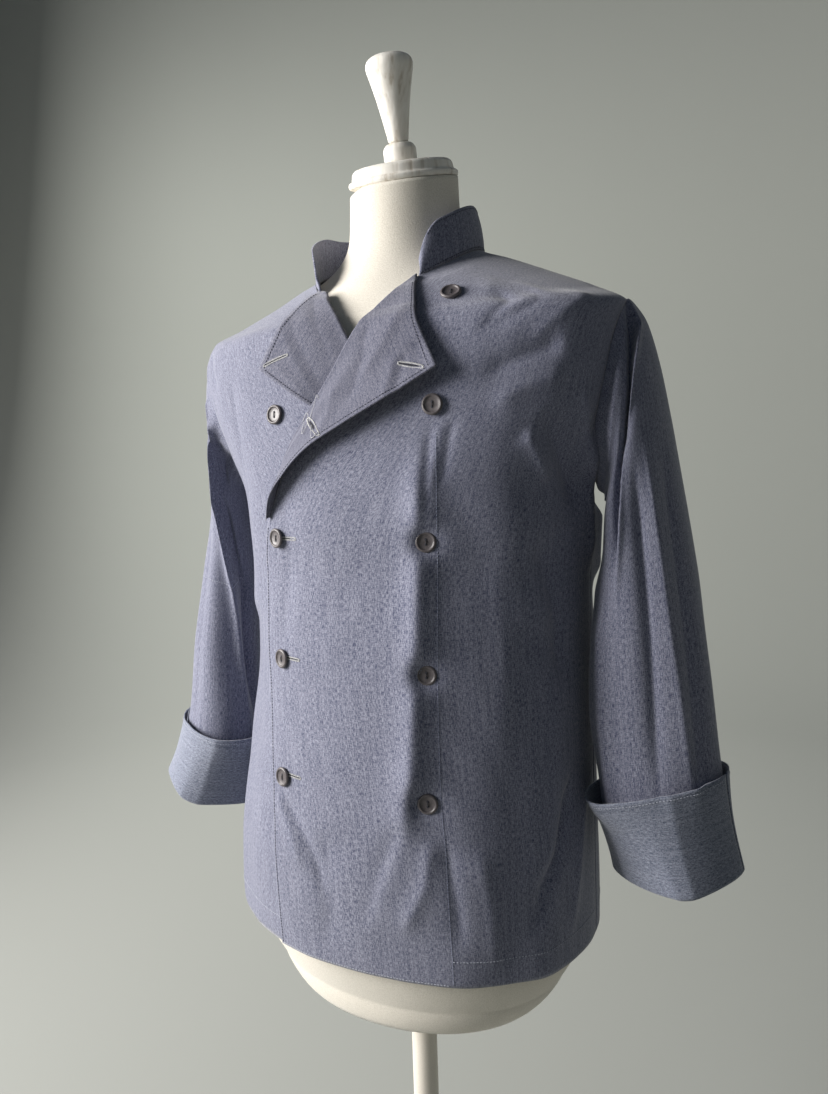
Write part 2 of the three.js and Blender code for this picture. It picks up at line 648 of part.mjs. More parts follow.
// The dress form's body and neck, a smooth closed solid.
const FORM_HEIGHTS = [
  FORM_BOTTOM, -60, 0, 90, 185, 300, 380, 470, 520, 560, 600, 630, 645, 656, 668, 679, 690, 700, 710, 720,
  729, 738, 749, 760, 780, CAP.height,
];
const BREAST = { gap: 6, low: 600, high: 660 };
const FORM_ENDS = { round: 25, neck: 738 };
function formBody() {
  const rings = FORM_HEIGHTS.map((height) => spread(FORM_SIDES).slice(0, -1).map((t) => {
    const turn = 360 * t;
    const breast = Math.max(0, -Math.sin(radians(turn))) ** 3 * soften(height, BREAST.low, BREAST.high);
    const gap = read(EASE, 'gap', height) + BREAST.gap * breast;
    const bottom = soften(height, FORM_BOTTOM, FORM_BOTTOM + FORM_ENDS.round);
    const neck = 1 - soften(height, SIDE_NECK, FORM_ENDS.neck);
    const inside = (CLOTH + gap) * bottom * neck;
    return ringPoint(turn, height).addScaledVector(bodyOutward(turn, height), -inside);
  }));
  const points = rings.flat();
  const triangles = [];
  for (let ring = 0; ring < rings.length - 1; ring += 1) {
    for (let i = 0; i < FORM_SIDES; i += 1) {
      const [a, b] = [ring * FORM_SIDES + i, ring * FORM_SIDES + ((i + 1) % FORM_SIDES)];
      triangles.push(a, b, b + FORM_SIDES, a, b + FORM_SIDES, a + FORM_SIDES);
    }
  }
  const lastRing = (rings.length - 1) * FORM_SIDES;
  for (let i = 1; i < FORM_SIDES - 1; i += 1) {
    triangles.push(0, i + 1, i);
    triangles.push(lastRing, lastRing + i, lastRing + i + 1);
  }
  return closedGeometry(points, triangles);
}

// Profiles of the turned pieces, as radius and height above their own underside.
const CAP_PROFILE = [
  [0, 0], [CAP.radius, 0], [CAP.radius + 1, 2], [CAP.radius + 1, 6], [CAP.radius - 3, 8],
  [CAP.radius - 6, CAP.thick - 2], [CAP.radius - 9, CAP.thick], [0, CAP.thick],
];
const RING_PROFILE = [[0, 0], [15, 0], [17.5, 4], [17.5, 15], [15, 19], [12, 21], [0, 21]];
const HANDLE_PROFILE = [
  [0, 0], [10.5, 0], [12, 10], [16.5, 35], [24, 66], [25, 71], [23, 77], [17, 81], [9, 83], [0, 83.5],
];
const BASE_PROFILE = [
  [0, 0], [BASE_RADIUS - 2, 0], [BASE_RADIUS, 3], [BASE_RADIUS, BASE_HEIGHT - 10],
  [BASE_RADIUS - 6, BASE_HEIGHT - 4], [60, BASE_HEIGHT - 1], [30, BASE_HEIGHT], [0, BASE_HEIGHT],
];

// The neck cap and the turned wooden finial stand on the neck's tipped top.
function formTop() {
  const group = new THREE.Group();
  group.position.set(CAP.x, CAP.y, HEM_HEIGHT + CAP.height);
  group.rotation.x = radians(CAP.tilt);
  const ringLift = CAP.thick + 2 * SEAM;
  const handleLift = ringLift + RING_PROFILE[RING_PROFILE.length - 1][1] + SEAM;
  [
    ['form_neck_cap', lathe(CAP_PROFILE, TURNED_SIDES.cap), SEAM],
    ['form_finial_ring', lathe(RING_PROFILE, TURNED_SIDES.finial), ringLift],
    ['form_finial_handle', lathe(HANDLE_PROFILE, TURNED_SIDES.finial), handleLift],
  ].forEach(([name, geometry, lift]) => {
    const mesh = piece(name, geometry, woodMaterial);
    mesh.position.z = lift;
    group.add(mesh);
  });
  return group;
}

// The round base and the pole up to the form.
function stand(formUnderside) {
  const base = piece('stand_base', lathe(BASE_PROFILE, TURNED_SIDES.base), standMaterial);
  const poleHeight = formUnderside - BASE_HEIGHT - 2 * SEAM;
  const pole = piece('stand_pole', lathe([
    [0, 0], [POLE_RADIUS, 0], [POLE_RADIUS, poleHeight], [0, poleHeight],
  ], TURNED_SIDES.pole), standMaterial);
  pole.position.z = BASE_HEIGHT + SEAM;
  return new THREE.Group().add(base, pole);
}

// The buttons: the left column is sewn to the outer front, the right one shows through it below the
// lapels and sits on the inner front above them.
function buttons() {
  const group = new THREE.Group();
  const geometry = buttonGeometry();
  BUTTON_ROWS.forEach(({ name, height, across, seat }) => {
    group.add(button(`button_left_${name}`, geometry, across, height, seat, outerLap));
    if (name === '1') return;
    const under = name === '2' ? innerLap : outerLap;
    group.add(button(`button_right_${name}`, geometry, -across, height, 0, under));
  });
  return group;
}

const jacket = new THREE.Group();
jacket.add(
  piece('back', backPanel(), clothMaterial),
  piece('front_left', frontPanel(1, outerLap), clothMaterial),
  piece('front_right', frontPanel(-1, innerLap), clothMaterial),
  piece('lapel_left', lapel(1, outerLap), clothMaterial),
  piece('lapel_right', lapel(-1, innerLap), clothMaterial),
  piece('collar', collar(), clothMaterial),
  piece('sleeve_left', sleeve(LEFT_SLEEVE, 1), clothMaterial),
  piece('sleeve_right', sleeve(RIGHT_SLEEVE, -1), clothMaterial),
  piece('cuff_left', cuff(LEFT_SLEEVE, 1), insideMaterial),
  piece('cuff_right', cuff(RIGHT_SLEEVE, -1), insideMaterial),
  buttons(),
);

const torso = piece('form_torso', formBody(), formMaterial);
torso.geometry.computeBoundingBox();
const dressForm = new THREE.Group();
dressForm.add(torso, formTop(), stand(torso.geometry.boundingBox.min.z));

export default new THREE.Group().add(jacket, dressForm);
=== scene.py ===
"""A double-breasted chef jacket in blue-grey chambray on a limbless dress form.

Metres in the scene, millimetres in the cloth's own sizes. The jacket faces -Y, +X is its wearer's left.
"""

import math

import bmesh
import bpy
import numpy as np
from mathutils import Matrix, Vector


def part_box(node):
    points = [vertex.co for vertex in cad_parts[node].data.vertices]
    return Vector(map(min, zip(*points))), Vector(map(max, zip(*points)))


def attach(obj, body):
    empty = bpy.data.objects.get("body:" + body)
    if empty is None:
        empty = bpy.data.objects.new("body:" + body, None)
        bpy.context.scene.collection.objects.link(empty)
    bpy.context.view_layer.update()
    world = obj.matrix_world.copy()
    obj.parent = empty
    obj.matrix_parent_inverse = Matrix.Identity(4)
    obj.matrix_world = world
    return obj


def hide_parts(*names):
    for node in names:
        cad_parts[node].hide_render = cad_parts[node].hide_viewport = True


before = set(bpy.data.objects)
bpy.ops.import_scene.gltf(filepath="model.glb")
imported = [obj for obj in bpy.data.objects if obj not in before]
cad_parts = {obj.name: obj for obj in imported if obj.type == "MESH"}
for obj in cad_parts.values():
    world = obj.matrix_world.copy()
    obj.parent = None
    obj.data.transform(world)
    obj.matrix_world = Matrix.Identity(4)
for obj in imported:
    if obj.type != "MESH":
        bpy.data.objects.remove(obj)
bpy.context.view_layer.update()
scene = bpy.context.scene


# Camera, at the height of the jacket's chest, to its wearer's left and looking a little down. It leans
# a little to one side, and its lens takes in the jacket from neck to hem.
FOCAL_PIXELS = 816.13
LONG_SIDE = 1094
SENSOR = 36
CAMERA_PLACE = (0.39355, -0.81424, 1.21815)
CAMERA_AZIMUTH, CAMERA_PITCH, CAMERA_ROLL = (math.radians(angle) for angle in (25.44, 6.9, -1.79))

camera = bpy.data.objects.new("camera", bpy.data.cameras.new("camera"))
camera.data.sensor_width = SENSOR
camera.data.lens = SENSOR * FOCAL_PIXELS / LONG_SIDE
ahead = Vector((
    -math.sin(CAMERA_AZIMUTH) * math.cos(CAMERA_PITCH),
    math.cos(CAMERA_AZIMUTH) * math.cos(CAMERA_PITCH),
    -math.sin(CAMERA_PITCH),
))
level = ahead.cross(Vector((0, 0, 1))).normalized()
upward = level.cross(ahead)
cos_roll, sin_roll = math.cos(CAMERA_ROLL), math.sin(CAMERA_ROLL)
right = level * cos_roll + upward * sin_roll
top = upward * cos_roll - level * sin_roll
camera_axes = Matrix((right, top, -ahead)).transposed().to_4x4()
camera.matrix_world = Matrix.Translation(CAMERA_PLACE) @ camera_axes
scene.collection.objects.link(camera)
scene.camera = camera


# Floor of a pale studio, which curves up into its wall all round, and the soft lights: a window-like
# one from the jacket's right front, a weak fill from its left and a rim light from behind.
def show(name, shape, material):
    """A new object from a bmesh, smooth shaded, at the origin."""
    mesh = bpy.data.meshes.new(name)
    shape.to_mesh(mesh)
    shape.free()
    mesh.materials.append(material)
    mesh.shade_smooth()
    made = bpy.data.objects.new(name, mesh)
    scene.collection.objects.link(made)
    return made


def spin_profile(profile, rounding, steps, smooth_steps=4):
    """A turned shape about the Z axis: corners of the profile rounded, then spun all the way round."""
    shape = bmesh.new()
    dots = [shape.verts.new((radius, 0, height)) for radius, height in profile]
    for first, second in zip(dots, dots[1:]):
        shape.edges.new((first, second))
    if rounding:
        bmesh.ops.bevel(
            shape, geom=dots[1:-1], offset=rounding, offset_type="OFFSET", segments=smooth_steps,
            profile=0.5, affect="VERTICES", material=-1, clamp_overlap=True,
        )
    bmesh.ops.spin(
        shape, geom=shape.verts[:] + shape.edges[:], cent=(0, 0, 0), axis=(0, 0, 1),
        angle=2 * math.pi, steps=steps, use_merge=True,
    )
    bmesh.ops.remove_doubles(shape, verts=shape.verts, dist=1e-6)
    bmesh.ops.recalc_face_normals(shape, faces=shape.faces)
    return shape


def plain_material(name, colour, roughness):
    """A material of one finish, and its nodes, links and shader to build more on."""
    material = bpy.data.materials.new(name)
    material.use_nodes = True
    nodes = material.node_tree.nodes
    shader = nodes["Principled BSDF"]
    shader.inputs["Base Color"].default_value = (*colour, 1)
    shader.inputs["Roughness"].default_value = roughness
    return material, nodes, material.node_tree.links, shader


STUDIO_RADIUS, STUDIO_HEIGHT, STUDIO_CURVE = 5.2, 6, 2.4
studio_paint, *_ = plain_material("studio_paint", (0.32, 0.33, 0.31), 0.9)
studio_profile = [(0, 0), (STUDIO_RADIUS, 0), (STUDIO_RADIUS, STUDIO_HEIGHT)]
studio_shape = spin_profile(studio_profile, STUDIO_CURVE, steps=48, smooth_steps=12)
studio = show("studio", studio_shape, studio_paint)


def soft_light(name, place, aim, size, power, colour):
    """A square soft light that points at a spot."""
    lamp = bpy.data.lights.new(name, "AREA")
    lamp.shape = "RECTANGLE"
    lamp.size, lamp.size_y = size
    lamp.energy = power
    lamp.color = colour
    made = bpy.data.objects.new(name, lamp)
    made.location = place
    made.rotation_euler = (Vector(aim) - Vector(place)).to_track_quat("-Z", "Y").to_euler()
    scene.collection.objects.link(made)


# Each light's place, the spot it points at, its size, its power in watts and its colour.
CHEST = (0, 0, 1.15)
soft_light("window", (-2.31, -1.39, 1.9), CHEST, (1.8, 1.5), 216, (1, 0.97, 0.94))
soft_light("fill", (0.5, -2.6, 2.9), CHEST, (2, 2), 2.5, (0.5, 0.72, 1))
soft_light("rim", (1.2, 2.9, 2.6), CHEST, (2, 2), 3, (0.9, 0.95, 1))
soft_light("backdrop", (-2.6, 1.6, 2.6), (0.8, 5.2, 1.9), (2, 2), 125, (1, 1, 0.95))

world = bpy.data.worlds.new("world")
world.use_nodes = True
sky = world.node_tree.nodes["Background"]
sky.inputs["Color"].default_value = (0.5, 0.68, 1, 1)
sky.inputs["Strength"].default_value = 0.07
scene.view_settings.view_transform = "Standard"
scene.world = world


# The form's body: a moulded torso under a cream jersey cover, smooth and without limbs. It fills the
# jacket and carries it on the shoulders.
HEM_HEIGHT = 700
SIDE_NECK = 720
RIGHT_DROP = 8
FORM_BOTTOM = -85
FORM_TOP = 799
CAD_CLOTH = 1.6
BREAST_GAP = 6
BREAST_LOW, BREAST_HIGH = 600, 660
END_ROUNDING = 25
COLLAR_ROOT = 738
SIDE_STEP, RISE_STEP = 0.6, 1.5
NECK_ROOT_LOW, NECK_ROOT_HIGH, NECK_SMOOTHINGS = 1.352, 1.44, 40
HANG_POWER, BREAST_POWER = 1.5, 3
DROP_ACROSS, DROP_RISE = (0.2, 1), (560, 650)


def table(columns, rows):
    """A table of named columns; the first one is what the others are read by."""
    return dict(zip(columns.split(), np.array(rows, float).T))


def read(rows, column, at):
    """A value between a table's rows: a smooth curve that never swings past them."""
    keys, values = next(iter(rows.values())), rows[column]
    slopes = np.diff(values) / np.diff(keys)
    product = slopes[:-1] * slopes[1:]
    both = np.where(product > 0, slopes[:-1] + slopes[1:], 1)
    tangents = np.concatenate(([slopes[0]], np.where(product > 0, 2 * product / both, 0), [slopes[-1]]))
    at = np.clip(at, keys[0], keys[-1])
    row = np.clip(np.searchsorted(keys, at) - 1, 0, len(keys) - 2)
    span = keys[row + 1] - keys[row]
    part = (at - keys[row]) / span
    rest = 1 - part
    return (
        values[row] * (1 + 2 * part) * rest**2
        + values[row + 1] * (3 - 2 * part) * part**2
        + span * part * rest * (tangents[row] * rest - tangents[row + 1] * part)
    )


def soften(value, low, high):
    """A smooth step from 0 at low to 1 at high."""
    part = np.clip((value - low) / (high - low), 0, 1)
    return part * part * (3 - 2 * part)


def mix(first, second, part):
    return first + (second - first) * part


def signed_power(value, power):
    return np.sign(value) * np.abs(value) ** power


# Level rings of the body: half width, depth before and behind the middle, power of the rounded
# rectangle, how far the front of the ring hangs down, how far it tips forward, and its sideways shift.
BODY = table(
    "height half front back middle power dip tip shift",
    [
        (-85, 150, 118, 112, 0, 2.1, 0, 0, 0),
        (-60, 184, 138, 134, 0, 2.15, 0, 0, 0),
        (0, 208, 155, 150, 0, 2.2, 0, 0, -1),
        (90, 205, 157, 145, -1, 2.2, 0, 0, 1),
        (185, 197, 155, 139, 1, 2.15, 0, 0, 7),
        (300, 190, 153, 134, 4, 2.1, 0, 0, 12),
        (380, 190, 147, 131, 4, 2.1, 0, 0, 11),
        (470, 197, 138, 128, 2, 2.15, 0, 0, 7),
        (520, 215, 131, 127, 1, 2.25, 0, 0, 4),
        (560, 230, 124, 126, 1, 2.35, 0, 0, 2),
        (600, 239, 117, 124, 1, 2.4, 0, 0, 1),
        (635, 241, 111, 119, 1, 2.35, -2, 0, 3),
        (650, 238, 109, 116, 2, 2.3, -8, 0, 6),
        (668, 203, 108, 108, 4, 2.15, -19, 0, 8),
        (690, 155, 108, 96, 8, 2.1, -33, 0, 6),
        (708, 118, 108, 80, 12, 2.05, -44, 0, 1),
        (720, 91, 107, 62, 15, 2, -51, 0, -3),
        (738, 66, 72, 50, 14, 2, -34, 3, 1),
        (760, 60, 60, 56, 12, 2, -10, 10, 2),
        (799, 58, 58, 58, 12, 2, 0, 14, 2),
    ],
)
# How far the form lies inside the cloth.
EASE = table(
    "height gap",
    [(-85, 12), (0, 12), (200, 16), (420, 16), (560, 10), (620, 7), (655, 3), (690, 1.9), (720, 1.9)],
)


def ring_point(turn, height):
    """Points of the bare body. Turn 0 is the wearer's left side, -90 the centre front, 90 the back."""
    across, along = np.cos(np.radians(turn)), np.sin(np.radians(turn))
    power = 2 / read(BODY, "power", height)
    depth = np.where(along < 0, read(BODY, "front", height), read(BODY, "back", height))
    hang = read(BODY, "dip", height) * np.maximum(0, -along) ** HANG_POWER
    drop = RIGHT_DROP * soften(-across, *DROP_ACROSS) * soften(height, *DROP_RISE)
    return np.stack([
        read(BODY, "half", height) * signed_power(across, power) + read(BODY, "shift", height),
        read(BODY, "middle", height) + depth * signed_power(along, power),
        HEM_HEIGHT + height + hang - drop + read(BODY, "tip", height) * along,
    ], -1)


def unit(arrows):
    return arrows / np.linalg.norm(arrows, axis=-1, keepdims=True)


def outward(surface, first, second, first_step, second_step):
    """The directions out of a surface given by a function of two values."""
    along_first = surface(first + first_step, second) - surface(first - first_step, second)
    along_second = surface(first, second + second_step) - surface(first, second - second_step)
    return unit(np.cross(along_first, along_second))


def body_outward(turn, height):
    return outward(ring_point, turn, height, SIDE_STEP, RISE_STEP)


def moved_grid(columns, rows, place, flat, closed=False):
    """A grid whose points go where a function of across and up, both 0 to 1, says in millimetres.
    Its UV map is the cloth's own grain in metres, and a closed one is joined into a tube."""
    shape = bmesh.new()
    grain = shape.loops.layers.uv.new("grain")
    bmesh.ops.create_grid(shape, x_segments=columns, y_segments=rows, size=0.5, calc_uvs=True)
    spots = np.array([vert.co[:2] for vert in shape.verts]) + 0.5
    for face in shape.faces:
        for loop in face.loops:
            loop[grain].uv = (
                (loop.vert.co.x + 0.5) * flat[0],
                (loop.vert.co.y + 0.5) * flat[1],
            )
    for vert, point in zip(shape.verts, place(spots[:, 0], spots[:, 1]) / 1000):
        vert.co = point
    if closed:
        bmesh.ops.remove_doubles(shape, verts=shape.verts, dist=2e-6)
    return shape


def form_surface(across, up):
    turn, height = 360 * across, mix(FORM_BOTTOM, FORM_TOP, up)
    breast = np.maximum(0, -np.sin(np.radians(turn))) ** BREAST_POWER
    breast = breast * soften(height, BREAST_LOW, BREAST_HIGH)
    gap = read(EASE, "gap", height) + BREAST_GAP * breast
    ends = soften(height, FORM_BOTTOM, FORM_BOTTOM + END_ROUNDING)
    ends = ends * (1 - soften(height, SIDE_NECK, COLLAR_ROOT))
    return ring_point(turn, height) - body_outward(turn, height) * ((CAD_CLOTH + gap) * ends)[:, None]


def add_nodes(nodes, *kinds):
    return [nodes.new(f"ShaderNode{kind}") for kind in kinds]


def noise_on(nodes, links, source, scale, detail):
    """Noise on a surface's own coordinates."""
    (noise,) = add_nodes(nodes, "TexNoise")
    links.new(source, noise.inputs["Vector"])
    noise.inputs["Scale"].default_value = scale
    noise.inputs["Detail"].default_value = detail
    return noise.outputs["Fac"]


def relief(nodes, links, shader, height, distance, strength=1):
    """Fine relief in the shading, from a height of 0 to 1."""
    (bump,) = add_nodes(nodes, "Bump")
    bump.inputs["Distance"].default_value = distance
    bump.inputs["Strength"].default_value = strength
    links.new(height, bump.inputs["Height"])
    links.new(bump.outputs["Normal"], shader.inputs["Normal"])


def mottled(name, colour, roughness, scale, distance, colours):
    """A smooth finish with faint relief and clouding in it, and its shader."""
    material, nodes, links, shader = plain_material(name, colour, roughness)
    (coordinates,) = add_nodes(nodes, "TexCoord")
    noise = noise_on(nodes, links, coordinates.outputs["Object"], scale, detail=3)
    relief(nodes, links, shader, noise, distance)
    tinted(nodes, links, shader, noise, colours)
    return material, shader


def tinted(nodes, links, shader, factor, colours):
    """Base colour from a factor through evenly or freely placed colours."""
    (ramp,) = add_nodes(nodes, "ValToRGB")
    for place, colour in colours[1:-1]:
        ramp.color_ramp.elements.new(place)
    for element, (place, colour) in zip(ramp.color_ramp.elements, colours):
        element.position = place
        element.color = (*colour, 1)
    links.new(factor, ramp.inputs["Fac"])
    links.new(ramp.outputs["Color"], shader.inputs["Base Color"])


jersey, shader = mottled(
    "cream_jersey", (0.7, 0.66, 0.58), 0.9, scale=900, distance=0.0004,
    colours=[(0.3, (0.6, 0.56, 0.48)), (0.7, (0.75, 0.71, 0.63))],
)
shader.inputs["Sheen Weight"].default_value = 0.25

shape = moved_grid(96, 260, form_surface, (1.1, 0.9), closed=True)
neck_root = [vert for vert in shape.verts if NECK_ROOT_LOW < vert.co.z < NECK_ROOT_HIGH and vert.co.y < 0]
for _ in range(NECK_SMOOTHINGS):
    bmesh.ops.smooth_vert(
        shape, verts=neck_root, factor=0.5, use_axis_x=True, use_axis_y=True, use_axis_z=True,
    )
bmesh.ops.holes_fill(shape, edges=[edge for edge in shape.edges if edge.is_boundary])
bmesh.ops.recalc_face_normals(shape, faces=shape.faces)
form_body = show("form_body", shape, jersey)
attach(form_body, "root")
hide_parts("form_torso")


# The form's neck cap and finial: turned beech, whitewashed and rubbed back, one above the other on the
# neck's tipped top: a flat cap, a low ring and a flared handle to lift the form by.
CAP_PLACE = (2, 12, HEM_HEIGHT + FORM_TOP)
CAP_TILT = math.radians(13.7)
CAP_RADIUS, CAP_THICK = 58, 18
RING_HEIGHT = 21
SEAM = 0.5

wood, nodes, links, shader = plain_material("whitewashed_wood", (0.75, 0.72, 0.66), 0.55)
coordinates, stretch = add_nodes(nodes, "TexCoord", "Mapping")
stretch.inputs["Scale"].default_value = (1, 1, 0.12)
stretch.inputs["Rotation"].default_value = (-CAP_TILT, 0, 0)
links.new(coordinates.outputs["Object"], stretch.inputs["Vector"])
wood_grain = noise_on(nodes, links, stretch.outputs["Vector"], scale=160, detail=6)
tinted(nodes, links, shader, wood_grain, [
    (0.3, (0.5, 0.45, 0.38)), (0.45, (0.71, 0.68, 0.62)), (0.7, (0.8, 0.78, 0.73)),
])
relief(nodes, links, shader, wood_grain, distance=0.0006)

on_neck = Matrix.Translation(Vector(CAP_PLACE) / 1000) @ Matrix.Rotation(CAP_TILT, 4, "X")


def turned_piece(name, node, profile, rounding, lift, placing, material, steps=64):
    """A turned piece that stands for a node: its profile is in millimetres, above its own underside."""
    shape = spin_profile([(radius / 1000, height / 1000) for radius, height in profile], rounding, steps)
    bmesh.ops.transform(shape, matrix=placing @ Matrix.Translation((0, 0, lift / 1000)), verts=shape.verts)
    made = show(name, shape, material)
    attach(made, "root")
    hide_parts(node)


turned_piece("neck_cap", "form_neck_cap", [
    (0, 0), (CAP_RADIUS, 0), (CAP_RADIUS + 1, 2.5), (CAP_RADIUS + 1, 5.5), (CAP_RADIUS - 3, 7.5),
    (CAP_RADIUS - 4.5, CAP_THICK - 3), (CAP_RADIUS - 8, CAP_THICK), (0, CAP_THICK),
], 0.0014, SEAM, on_neck, wood)
turned_piece("finial_ring", "form_finial_ring", [
    (0, 0), (15.5, 0), (17.5, 4), (17.5, 15), (15, 19), (12, RING_HEIGHT), (0, RING_HEIGHT),
], 0.002, CAP_THICK + 2 * SEAM, on_neck, wood)
turned_piece("finial_handle", "form_finial_handle", [
    (0, 0), (10.5, 0), (11.3, 6), (12.8, 14), (14.6, 25), (16.9, 37), (20, 51), (22.8, 62), (24.4, 68),
    (24.8, 72.5), (23, 77.5), (17.5, 81), (9, 83), (0, 83.5),
], 0.003, CAP_THICK + RING_HEIGHT + 3 * SEAM, on_neck, wood)


# The stand: a heavy turned base and a steel pole up into the form, both powder coated in cream.
BASE_RADIUS, BASE_HEIGHT, POLE_RADIUS = 190, 24, 15
paint, _ = mottled(
    "cream_powder_coat", (0.66, 0.62, 0.55), 0.42, scale=1400, distance=0.0002,
    colours=[(0.3, (0.6, 0.56, 0.49)), (0.7, (0.7, 0.66, 0.59))],
)
standing = Matrix.Identity(4)
turned_piece("base", "stand_base", [
    (0, 0), (BASE_RADIUS - 2, 0), (BASE_RADIUS, 3), (BASE_RADIUS, BASE_HEIGHT - 10),
    (BASE_RADIUS - 6, BASE_HEIGHT - 4), (60, BASE_HEIGHT - 1), (30, BASE_HEIGHT), (0, BASE_HEIGHT),
], 0.002, 0, standing, paint, 96)
pole_low, pole_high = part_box("stand_pole")
pole_length = (pole_high[2] - pole_low[2]) * 1000
turned_piece("pole", "stand_pole", [
    (0, 0), (POLE_RADIUS, 0), (POLE_RADIUS, pole_length), (0, pole_length),
], 0.0006, pole_low[2] * 1000, standing, paint)


# Jacket back: one panel of chambray from side seam to side seam, cut out at both armholes, up to the
# shoulder seams and the neck. It hangs from the shoulder blades in soft folds down to a turned hem.
CLOTH = 1.2
ARM_LOW, ARM_RISE = 569, 86
ARM_FRONT, ARM_BACK = 43, 52
# Soft folds that stand out of the body: where they run, how wide they are in degrees, how far they
# stand out and how many degrees they lean for each 100 mm of height.
DRAPES = [
    dict(zip(("turn", "low", "high", "width", "out", "lean"), row))
    for row in [
        (-60, -20, 260, 11, 3, 3),
        (-34, -20, 330, 9, 5, 2),
        (-126, -20, 240, 11, 2, -2),
        (-148, -20, 330, 9, 5, -2),
        (35, -20, 320, 7, 5, -2),
        (66, -20, 240, 7, 4, 1),
        (95, -20, 300, 7, 4, 0),
        (128, -20, 230, 7, 4, 1),
        (152, -20, 330, 7, 5, 2),
        (-30, 330, 560, 10, 5, -12),
        (-150, 330, 560, 10, 5, 12),
    ]
]
# Creases of the body's cloth: how wide they are in millimetres, how far they stand out, less than 0 for
# a trough, and the spots they pass, as turn and height.
CREASES = [
    (22, 12, [(-73, 545), (-70.5, 450), (-72, 330), (-74, 190), (-78, 110)]),
    (24, 4, [(-70, 250), (-78, 140), (-88, 30)]),
    (4, -2, [(-71.5, 545), (-69, 471), (-70, 425)]),
    (4, -1.8, [(-66, 546), (-65, 480)]),
    (4, 1, [(-68.8, 548), (-67.5, 465)]),
    (16, -3.5, [(-74.6, 176), (-79.5, 139), (-82, 115), (-88, 40)]),
    (12, 3.2, [(-68, 155), (-70, 103), (-77.5, 45)]),
    (9, -2.8, [(-64.5, 155), (-61.3, 86), (-60, 35)]),
    (16, 3, [(-55, 150), (-51, 80), (-50, 5)]),
    (12, -8, [(-17, 200), (-26, 120), (-33, 93), (-38, 40)]),
    (14, 3.5, [(-8, 190), (-14, 100), (-22, 15)]),
    (9, 1.8, [(-37, 697), (-55, 671)]),
    (9, 2.6, [(-33, 689), (-40, 664), (-60, 635), (-66, 618)]),
    (9, -3, [(-47, 679), (-56, 650), (-64, 616)]),
    (10, -3.2, [(-39, 669), (-53.5, 638), (-62, 622)]),
    (12, 2.2, [(-27, 662), (-38, 640), (-50, 608)]),
    (14, -4.5, [(-38, 610), (-50, 597), (-62, 580)]),
    (16, 3, [(-36, 580), (-48, 570), (-58, 554)]),
    (17, -9, [(-42, 552), (-28, 505), (-8, 452)]),
    (10, 5, [(-46, 534), (-38, 508), (-31, 480)]),
    (11, 5, [(-31, 578), (-19, 525), (-6, 480)]),
    (24, -8, [(-36, 440), (-26, 370), (-20, 270)]),
    (26, 2, [(-50, 430), (-46, 320), (-47, 210)]),
    (24, 11, [(14, 462), (15, 420), (17, 365)]),
    (15, 9, [(-16, 540), (-8, 485), (-5, 440), (-2, 380)]),
    (26, 3, [(18, 380), (20, 260), (18, 140)]),
    (24, 6, [(166, 462), (165, 420), (163, 365)]),
    (7, -3.2, [(-117, 174), (-105, 133), (-99.8, 105), (-96, 60)]),
    (8, 2.8, [(-119, 170), (-109, 130), (-104, 90)]),
    (18, -2.5, [(-98, 150), (-95, 80), (-97, 5)]),
    (9, -3, [(-153, 642), (-147, 615), (-139, 588)]),
    (9, 2.5, [(-161, 640), (-154, 600), (-147, 560)]),
    (13, -2.5, [(-127, 605), (-131, 540), (-138, 465)]),
    (20, -2.5, [(-111, 505), (-114, 400), (-121, 290)]),
    (12, -4, [(62, 645), (47, 605), (29, 560)]),
    (12, -4, [(118, 645), (133, 605), (151, 560)]),
    (18, 4, [(76, 610), (68, 520), (57, 425)]),
    (18, 4, [(104, 605), (113, 510), (122, 415)]),
    (22, -4, [(88, 565), (86, 430), (92, 290)]),
    (16, -4, [(39, 310), (43, 180), (53, 35)]),
    (16, -4, [(141, 330), (137, 190), (127, 25)]),
]
# Millimetres of cloth to a degree of turn, how rounded a crease's crest is and how fast its sides fall,
# and the parts of its length over which it fades in and out.
ARC = 3.3
CREST, CREST_FALL = 0.25, 1.6
FADE_IN, FADE_OUT = 0.22, 0.72
DRAPE_START, DRAPE_END = 30, 130
SLOW_RIPPLE, QUICK_RIPPLE = 0.9, 0.22


def creased(creases, across, up, arc, rise):
    """How far the creases lift the cloth at a spot. Each has a narrow crest and long soft sides and
    fades out at both ends."""
    here = np.stack([across * arc, up * rise], -1)[..., None, :]
    total = np.zeros(here.shape[:-2])
    for width, out, path in creases:
        corners = np.array(path) * (arc, rise)
        spans = np.diff(corners, axis=0)
        lengths = np.linalg.norm(spans, axis=1)
        starts = np.cumsum(lengths) - lengths
        off = here - corners[:-1]
        part = np.clip((off * spans).sum(-1) / lengths**2, 0, 1)
        far = np.linalg.norm(off - part[..., None] * spans, axis=-1)
        nearest = far.argmin(-1)[..., None]
        beside = np.take_along_axis(far, nearest, -1)[..., 0]
        along = np.take_along_axis(starts + part * lengths, nearest, -1)[..., 0] / lengths.sum()
        crest = np.exp(-CREST_FALL * (np.sqrt((beside / width) ** 2 + CREST**2) - CREST))
        total += out * crest * soften(along, 0, FADE_IN) * (1 - soften(along, FADE_OUT, 1))
    return total


def ripple_at(turn, height):
    """The slight unevenness of washed cloth that hangs free: slow swells about 200 mm across and
    quick ones about 60 mm across, bent so that they never line up."""
    arc = turn * ARC
    slow = np.sin(arc / 31 + 1.3 * np.sin(height / 97)) * np.sin(height / 83 + 1.1 * np.sin(arc / 71))
    quick = np.sin(arc / 9.5 + 2 * np.sin(height / 37)) * np.sin(height / 21 + 1.7 * np.sin(arc / 29))
    return SLOW_RIPPLE * slow + QUICK_RIPPLE * quick


